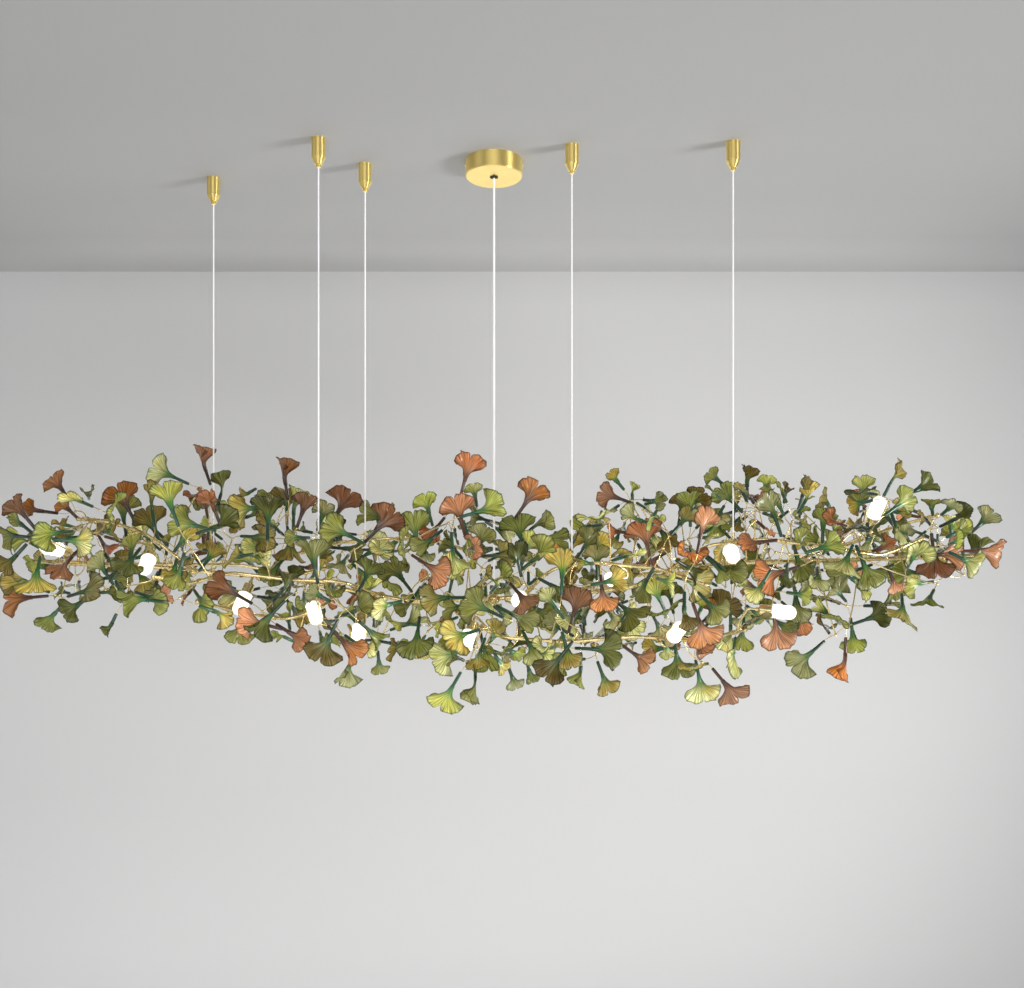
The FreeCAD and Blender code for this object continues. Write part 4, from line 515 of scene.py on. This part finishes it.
def fanPoint(size, form, share, way, variant):
    apex = Vector((share * valueAt(leafFinish["rootHalf"], way), size["neck"] - leafFinish["rootBack"], 0))
    if way <= 0:
        return apex + Vector((0, size["fan"] * way, 0)), Vector((0, 0, 1))
    width = leafFinish["narrow"] + (1 - leafFinish["narrow"]) * smooth(way / leafFinish["openAt"])
    turns, shift = leafFinish["scallopTurns"]
    reach = valueAt(leafFinish["outline"], abs(share))
    reach += leafFinish["scallop"] * math.sin(turns * share + shift * variant)
    reach = 1 + (reach - 1) * smooth(way / leafFinish["notchFrom"])
    step = 0.02
    ray = leafRay(form, share * width)
    side = leafRay(form, share * width + step) - leafRay(form, share * width - step)
    outward = side.cross(ray).normalized()
    turns, shift = leafFinish["rippleTurns"]
    ripple = leafFinish["ripple"] * way ** 2 * math.sin((turns + variant) * share + shift * variant)
    bend = max(0, way - leafFinish["curlFrom"]) / (1 - leafFinish["curlFrom"])
    curl = leafFinish["curl"] * bend ** 2
    reach -= leafFinish["curlPull"] * curl
    offset = outward * (size["fan"] * (ripple - curl))
    return apex + ray * (size["fan"] * way * reach) + offset, outward


def skin(mesh, corners, places):
    uv = mesh.loops.layers.uv["leafPlace"]
    face = mesh.faces.new(corners)
    face.smooth = True
    for loop, place in zip(face.loops, places):
        loop[uv].uv = place


def addFan(mesh, size, form, variant):
    shares = [-value for value in reversed(leafFinish["columns"][1:])] + leafFinish["columns"]
    rows = leafFinish["rows"]
    neckPlace = leafFinish["neckPlace"]

    def grid(side):
        net = []
        for way in rows:
            line = []
            thick = valueAt(leafFinish["thickness"], way)
            for share in shares:
                point, outward = fanPoint(size, form, share, way, variant)
                line.append(mesh.verts.new(point + outward * (side * thick / 2)))
            net.append(line)
        return net

    def place(column, row):
        return (0.5 + shares[column] / 2, neckPlace + (1 - neckPlace) * rows[row])

    top, bottom = grid(1), grid(-1)
    right, end = len(shares) - 1, len(rows) - 1
    for row in range(end):
        for column in range(right):
            corners = [(column, row), (column + 1, row), (column + 1, row + 1), (column, row + 1)]
            places = [place(*corner) for corner in corners]
            skin(mesh, [top[r][c] for c, r in corners], places)
            skin(mesh, [bottom[r][c] for c, r in reversed(corners)], places[::-1])
    border = [(0, row) for row in range(end)] + [(column, end) for column in range(right)]
    border += [(right, row) for row in range(end, 0, -1)]
    border += [(column, 0) for column in range(right, -1, -1)]
    for (c1, r1), (c2, r2) in zip(border, border[1:]):
        corners = [top[r1][c1], top[r2][c2], bottom[r2][c2], bottom[r1][c1]]
        skin(mesh, corners, [place(c1, r1), place(c2, r2), place(c2, r2), place(c1, r1)])


def addSleeve(mesh, size):
    radius = leafFinish["sleeveRadius"]
    neckPlace = leafFinish["neckPlace"]
    profile = [
        (size["sleeve"] * way, radius * share, leafFinish["sleevePlace"] * way)
        for way, share in leafFinish["sleeve"]
    ]
    profile += [
        (size["neck"] + size["fan"] * way, radius * share, neckPlace + (1 - neckPlace) * max(0, way))
        for way, share in leafFinish["root"]
    ]
    sides = leafFinish["sleeveSides"]
    turns = [2 * math.pi * side / sides for side in range(sides)]
    rings = [
        [mesh.verts.new((ring * math.cos(turn), reach, ring * math.sin(turn))) for turn in turns]
        for reach, ring, place in profile
    ]
    places = [place for reach, ring, place in profile]
    for index in range(len(profile) - 1):
        low, high = places[index], places[index + 1]
        for side in range(sides):
            after = (side + 1) % sides
            near, far = rings[index], rings[index + 1]
            corners = [near[side], near[after], far[after], far[side]]
            skin(mesh, corners, [(0.5, low), (0.5, low), (0.5, high), (0.5, high)])
    skin(mesh, rings[0][::-1], [(0.5, places[0])] * sides)
    skin(mesh, rings[-1], [(0.5, places[-1])] * sides)


def makeLeaf(sizeName, formName, variant):
    size = leaf[sizeName]
    mesh = bmesh.new()
    mesh.loops.layers.uv.new("leafPlace")
    addFan(mesh, size, leafForm[formName], variant)
    addSleeve(mesh, size)
    bmesh.ops.recalc_face_normals(mesh, faces=mesh.faces)
    data = bpy.data.meshes.new(f"leaf{sizeName}{formName}{variant}")
    mesh.to_mesh(data)
    mesh.free()
    return data


packed = {
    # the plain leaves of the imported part, in metres
    "weld": 5e-6,
    "sleeveRadius": 0.0031,
    "thickness": 0.0018,
    "ringReach": 2.1,  # in sleeve radii: the wire end's points lie this near one another
    "ringPoints": 12,
    "behind": 1.2,  # in sleeve radii: nothing lies further back than this
    "cornersApart": 0.5,  # in reaches: the fan's two outer corners are at least this far apart
    "length": 0.92,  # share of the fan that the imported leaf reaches
}


def leafIslands(nodeName):
    mesh = bmesh.new()
    mesh.from_mesh(nodes[nodeName].data)
    bmesh.ops.remove_doubles(mesh, verts=mesh.verts, dist=packed["weld"])
    mesh.verts.ensure_lookup_table()
    seen = set()
    found = []
    for start in mesh.verts:
        if start.index in seen:
            continue
        seen.add(start.index)
        queue = [start]
        points = []
        while queue:
            vertex = queue.pop()
            points.append(vertex.co[:])
            for edge in vertex.link_edges:
                other = edge.other_vert(vertex)
                if other.index not in seen:
                    seen.add(other.index)
                    queue.append(other)
        found.append(np.array(points))
    mesh.free()
    return found


def leafPlace(points):
    radius = packed["sleeveRadius"]
    middle = points.mean(0)
    for point in points:
        way = (middle - point) / np.linalg.norm(middle - point)
        near = np.linalg.norm(points - point, axis=1) < packed["ringReach"] * radius
        furthestBack = ((points - point) @ way).min()
        if near.sum() >= packed["ringPoints"] and furthestBack > -packed["behind"] * radius:
            break
    ring = points[near]
    base = ring.mean(0)
    axis = np.linalg.svd(ring - base)[2][2]
    axis = axis * np.sign(axis @ (middle - base))
    offset = points - base
    height = offset @ axis
    square = offset - np.outer(height, axis)
    reach = np.linalg.norm(square, axis=1)
    first = reach.argmax()
    apart = np.linalg.norm(square - square[first], axis=1) > packed["cornersApart"] * reach[first]
    second = np.where(apart, reach, 0).argmax()
    face = square[first] + square[second]
    face = face / np.linalg.norm(face)
    across = np.cross(axis, face)
    rise = square[first] @ face - packed["thickness"] / 2
    roll = math.degrees(math.atan2(rise, abs(square[first] @ across)))

    def rollError(name):
        return abs(leafForm[name]["roll"] - roll)

    def lengthError(name):
        return abs(leaf[name]["neck"] + packed["length"] * leaf[name]["fan"] - height.max())

    turn = Matrix((across, axis, face)).transposed()
    return base, turn.to_euler("XYZ"), min(leaf, key=lengthError), min(leafForm, key=rollError)


def leafTree():
    tree = bpy.data.node_groups.new("leafSpread", "GeometryNodeTree")
    sockets = tree.interface
    sockets.new_socket(name="Places", in_out="INPUT", socket_type="NodeSocketGeometry")
    sockets.new_socket(name="Leaf Kinds", in_out="INPUT", socket_type="NodeSocketCollection")
    sockets.new_socket(name="Resin", in_out="INPUT", socket_type="NodeSocketMaterial")
    sockets.new_socket(name="Seed", in_out="INPUT", socket_type="NodeSocketInt")
    sockets.new_socket(name="Leaves", in_out="OUTPUT", socket_type="NodeSocketGeometry")
    start = tree.nodes.new("NodeGroupInput")
    end = tree.nodes.new("NodeGroupOutput")
    kinds = addNode(tree, "GeometryNodeCollectionInfo", {
        "Separate Children": True, "Reset Children": True,
    })
    link(tree, start, "Leaf Kinds", kinds, "Collection")
    kind = addNode(tree, "GeometryNodeInputNamedAttribute", {"Name": "leafKind"}, data_type="INT")
    turn = addNode(tree, "GeometryNodeInputNamedAttribute", {"Name": "leafTurn"}, data_type="FLOAT_VECTOR")
    rotation = tree.nodes.new("FunctionNodeEulerToRotation")
    link(tree, turn, "Attribute", rotation, "Euler")
    spread = addNode(tree, "GeometryNodeInstanceOnPoints", {"Pick Instance": True})
    link(tree, start, "Places", spread, "Points")
    link(tree, kinds, "Instances", spread, "Instance")
    link(tree, kind, "Attribute", spread, "Instance Index")
    link(tree, rotation, "Rotation", spread, "Rotation")
    tone = addNode(tree, "FunctionNodeRandomValue", data_type="FLOAT")
    link(tree, start, "Seed", tone, "Seed")
    kept = addNode(
        tree, "GeometryNodeStoreNamedAttribute", {"Name": "leafTone"}, data_type="FLOAT", domain="INSTANCE",
    )
    link(tree, spread, "Instances", kept, "Geometry")
    tree.links.new(tone.outputs[1], kept.inputs["Value"])
    real = tree.nodes.new("GeometryNodeRealizeInstances")
    link(tree, kept, "Geometry", real, "Geometry")
    painted = tree.nodes.new("GeometryNodeSetMaterial")
    link(tree, real, "Geometry", painted, "Geometry")
    link(tree, start, "Resin", painted, "Material")
    link(tree, painted, "Geometry", end, "Leaves")
    return tree


def inputName(tree, name):
    return next(item.identifier for item in tree.interface.items_tree if item.name == name)


def growLeaves(nodeName, tree, kinds, kindNames, resin, seed):
    places = [leafPlace(points) for points in leafIslands(nodeName)]
    data = bpy.data.meshes.new(nodeName + "Places")
    data.from_pydata([place[0] for place in places], [], [])
    data.attributes.new("leafTurn", "FLOAT_VECTOR", "POINT")
    data.attributes.new("leafKind", "INT", "POINT")
    for index, (_, turn, sizeName, formName) in enumerate(places):
        kindName = f"{sizeName}{formName}{index % variants}"
        data.attributes["leafTurn"].data[index].vector = turn
        data.attributes["leafKind"].data[index].value = kindNames.index(kindName)
    spot = bpy.data.objects.new(nodeName + "Places", data)
    scene.collection.objects.link(spot)
    modifier = spot.modifiers.new("leafSpread", "NODES")
    modifier.node_group = tree
    modifier[inputName(tree, "Leaf Kinds")] = kinds
    modifier[inputName(tree, "Resin")] = resin
    modifier[inputName(tree, "Seed")] = seed
    graph = bpy.context.evaluated_depsgraph_get()
    real = bpy.data.meshes.new_from_object(
        spot.evaluated_get(graph), preserve_all_data_layers=True, depsgraph=graph,
    )
    bpy.data.objects.remove(spot)
    spots = np.empty(len(real.vertices) * 3)
    real.vertices.foreach_get("co", spots)
    spots = np.clip(spots.reshape(-1, 3), *cadBox)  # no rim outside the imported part's box
    real.vertices.foreach_set("co", spots.ravel())
    colour, leaves, side = nodeName.split("_")
    piece = bpy.data.objects.new(colour + leaves.capitalize() + side.capitalize(), real)
    scene.collection.objects.link(piece)
    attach(piece, "fixture")
    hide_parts(nodeName)
    print(f"{piece.name}: {len(places)} leaves, {len(real.polygons)} faces")


def makeLeaves():
    kinds = bpy.data.collections.new("leafKinds")
    kindNames = []
    for sizeName in leaf:
        for formName in leafForm:
            for variant in range(variants):
                name = f"{sizeName}{formName}{variant}"
                kinds.objects.link(bpy.data.objects.new(name, makeLeaf(sizeName, formName, variant)))
                kindNames.append(name)
    kindNames.sort()
    tree = leafTree()
    resin = {"green": makeResin("greenResin"), "amber": makeResin("amberResin")}
    groups = sorted(name for name in nodes if "_leaves_" in name)
    for seed, nodeName in enumerate(groups):
        growLeaves(nodeName, tree, kinds, kindNames, resin[nodeName.split("_")[0]], seed)
    for prototype in list(kinds.objects):
        bpy.data.objects.remove(prototype)
    bpy.data.collections.remove(kinds)


# cables and the power cord, straight from inside the grippers to the branches

suspension = {
    "cableDiameter": 0.003,
    "cordDiameter": 0.0045,
    "coreDrop": 0.028,  # where a cable leaves its gripper's guide
    "canopyDrop": 0.033,  # where the cord leaves the canopy
    "cableTop": 0.020,
    "cordTop": 0.016,
    "grip": 6.0,  # diameters from each end that the middle run begins
    "roundness": 3,
}
gripperNumbers = range(1, 6)


def makeCord(name, nodeName, diameter, top, material):
    low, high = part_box(nodeName)
    x, y = (low.x + high.x) / 2, (low.y + high.y) / 2
    lead = suspension["grip"] * diameter
    line = bpy.data.curves.new(name, "CURVE")
    line.dimensions = "3D"
    line.bevel_depth = diameter / 2
    line.bevel_resolution = suspension["roundness"]
    line.use_fill_caps = True
    spline = line.splines.new("NURBS")
    heights = [-top, -top - lead, low.z + lead, low.z]
    spline.points.add(len(heights) - 1)
    for point, z in zip(spline.points, heights):
        point.co = (x, y, z, 1)
    spline.order_u = 3
    spline.use_endpoint_u = True
    line.materials.append(material)
    piece = bpy.data.objects.new(name, line)
    scene.collection.objects.link(piece)
    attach(piece, "fixture")
    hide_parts(nodeName)


def makeCords():
    coat = makePlastic("coatedCable")
    for number in gripperNumbers:
        makeCord(
            f"cable{number}", f"cable_{number}", suspension["cableDiameter"], suspension["cableTop"],
            coat,
        )
    makeCord(
        "powerCord", "power_cord", suspension["cordDiameter"], suspension["cordTop"],
        makePlastic("paleCord"),
    )


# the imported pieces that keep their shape

def dress(names, material):
    for name in names:
        for slot in nodes[name].material_slots:
            slot.material = material


def dressPieces():
    nipples = [f"release_nipple_{number}" for number in gripperNumbers]
    springs = [f"gripper_spring_{number}" for number in gripperNumbers]
    balls = [f"gripper_balls_{number}" for number in gripperNumbers]
    branches = [f"branch_{number}" for number in range(1, 6)]
    twigs = [name for name in nodes if name.startswith("twigs_")]
    dress(["canopy_cover", "canopy_side_screws", "gripper_barrels"] + nipples, makeMetal("polishedGold"))
    dress(["canopy_bracket", "gripper_bases", "gripper_cores"], makeMetal("zincSteel"))
    dress(springs + balls, makeMetal("springSteel"))
    dress(["cord_grip_body", "cord_grip_nut"], makePlastic("darkNylon"))
    dress(["terminal_block"], makePlastic("terminalPlastic"))
    dress(["bulb_bases"], makePlastic("lampCeramic"))
    dress(["bulb_glasses"], makeGlow("frostedGlass"))
    dress(["bulb_lights"], makeGlow("litStick"))
    brass = [
        "earth_screw", "cable_hangers", "trunk_left", "trunk_right", "trunk_coupler", "side_branches",
        "branch_hubs", "branch_tips", "socket_arms", "lamp_holders",
    ]
    dress(brass + branches + twigs, makeMetal("branchGold"))


# each gripper's spring gets a mesh of its own

def shortenSprings():
    for number in gripperNumbers:
        spring, joint = f"gripper_spring_{number}", f"nipple_press_{number}"
        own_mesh(nodes[spring])


# room and lights

room = {
    "wallY": 0.73,
    "floorZ": -2.6,
    "halfWidth": 6.0,
    "front": -6.0,
    "roughness": 0.9,
    "specular": 0.1,
    "cloudScale": 1.5,
    "cloudDark": 0.99,  # brightness of the paint's darkest clouds
}
backdrops = {
    # brightness along one axis, in metres: painted light and shade on the ceiling and the wall; the floor
    # is even
    "ceiling": {
        "axis": "Y", "shades": [(-0.6, 0.43), (-0.26, 0.42), (0.2, 0.435), (0.45, 0.465), (0.65, 0.58)],
    },
    "wall": {
        "axis": "Z", "shades": [(-1.95, 0.80), (-1.5, 0.74), (-0.4, 0.71), (-0.1, 0.70), (-0.01, 0.655)],
    },
    "floor": {"axis": "Y", "shades": [(-2.0, 0.80), (0.7, 0.80)]},
}
surroundings = {
    # what the gold mirrors: brightness by direction, in degrees from the viewer to the right
    "bands": [
        (-180, 0.3), (-82, 0.15), (-76, 1.0), (-46, 1.0), (-41, 0.07), (-12, 0.07), (-7, 1.0), (20, 1.0),
        (26, 0.28), (115, 0.28), (130, 0.12), (180, 0.3),
    ],
    "strength": 1.5,
}
lamps = [
    # name, place, aim, width, height, spread in degrees, power
    ("windowRight", (2.7, -1.0, -1.7), (-0.1, 0.0, -0.7), 0.9, 0.9, 84.0, 15.0),
    ("softFront", (-0.6, -3.6, -0.8), (0.0, 0.0, -0.8), 2.6, 1.6, 180.0, 26.0),
    ("floorBounce", (-0.2, -0.9, -2.4), (-0.2, 0.0, 0.0), 3.0, 2.0, 180.0, 18.0),
    ("wallGlow", (0.0, 0.66, -0.6), (0.0, -2.0, -0.6), 2.4, 0.8, 180.0, 5.0),
]


def makeStage(name, corners, look):
    data = bpy.data.meshes.new(name)
    data.from_pydata(corners, [], [(0, 1, 2, 3)])
    material, tree = newMaterial(name)
    shader = addNode(tree, "ShaderNodeBsdfPrincipled", {
        "Roughness": room["roughness"], "Specular IOR Level": room["specular"],
    })
    # the shades ramp paints light and shade onto the ceiling and the wall
    start, end = look["shades"][0][0], look["shades"][-1][0]
    stops = [((place - start) / (end - start), [shade] * 3) for place, shade in look["shades"]]
    tint = addRamp(tree, stops)
    parts = tree.nodes.new("ShaderNodeSeparateXYZ")
    link(tree, tree.nodes.new("ShaderNodeTexCoord"), "Object", parts, "Vector")
    span = spreadValue(tree, parts.outputs[look["axis"]], 0.0, 1.0, start, end)
    tree.links.new(span, tint.inputs["Fac"])
    cloud = noisePattern(tree, room["cloudScale"])
    worn = spreadValue(tree, cloud.outputs["Fac"], room["cloudDark"], 1.0)
    tree.links.new(scaleColour(tree, tint.outputs["Color"], worn), shader.inputs["Base Color"])
    behind = tree.nodes.new("ShaderNodeNewGeometry").outputs["Backfacing"]  # clear from behind
    finishMaterial(tree, mixShaders(tree, behind, shader, tree.nodes.new("ShaderNodeBsdfTransparent")))
    data.materials.append(material)
    piece = bpy.data.objects.new(name, data)
    scene.collection.objects.link(piece)


def makeWorld():
    world = bpy.data.worlds.new("roomLight")
    world.use_nodes = True
    tree = world.node_tree
    coordinates = tree.nodes.new("ShaderNodeTexCoord")
    turn = addNode(tree, "ShaderNodeMapping", {"Rotation": (0, 0, math.radians(90))})
    link(tree, coordinates, "Generated", turn, "Vector")
    angle = addNode(tree, "ShaderNodeTexGradient", gradient_type="RADIAL")
    link(tree, turn, "Vector", angle, "Vector")
    stops = [(0.5 + degrees / 360, [shade] * 3) for degrees, shade in surroundings["bands"]]
    bands = addRamp(tree, stops)
    link(tree, angle, "Fac", bands, "Fac")
    link(tree, bands, "Color", tree.nodes["Background"], "Color")
    tree.nodes["Background"].inputs["Strength"].default_value = surroundings["strength"]
    scene.world = world


def makeRoom():
    left, right = -room["halfWidth"], room["halfWidth"]
    front, back, low = room["front"], room["wallY"], room["floorZ"]
    ceiling = [(left, front, 0), (left, back, 0), (right, back, 0), (right, front, 0)]
    wall = [(left, back, low), (right, back, low), (right, back, 0), (left, back, 0)]
    floor = [(left, front, low), (right, front, low), (right, back, low), (left, back, low)]
    makeStage("ceilingPlane", ceiling, backdrops["ceiling"])
    makeStage("wallPlane", wall, backdrops["wall"])
    makeStage("floorPlane", floor, backdrops["floor"])
    makeWorld()
    for name, place, aim, width, height, spread, power in lamps:
        light = bpy.data.lights.new(name, "AREA")
        light.shape = "RECTANGLE"
        light.size = width
        light.size_y = height
        light.spread = math.radians(spread)
        light.energy = power
        lamp = bpy.data.objects.new(name, light)
        lamp.location = place
        lamp.rotation_euler = (Vector(aim) - Vector(place)).to_track_quat("-Z", "Y").to_euler()
        lamp.visible_camera = False
        scene.collection.objects.link(lamp)


scene.view_settings.view_transform = "Standard"
makeCamera()
print("camera set")
makeRoom()
print("room and lights set")
makeCords()
print("cables and cord laid")
dressPieces()
print("metal, glass and plastic dressed")
shortenSprings()
makeLeaves()
print("leaves grown")
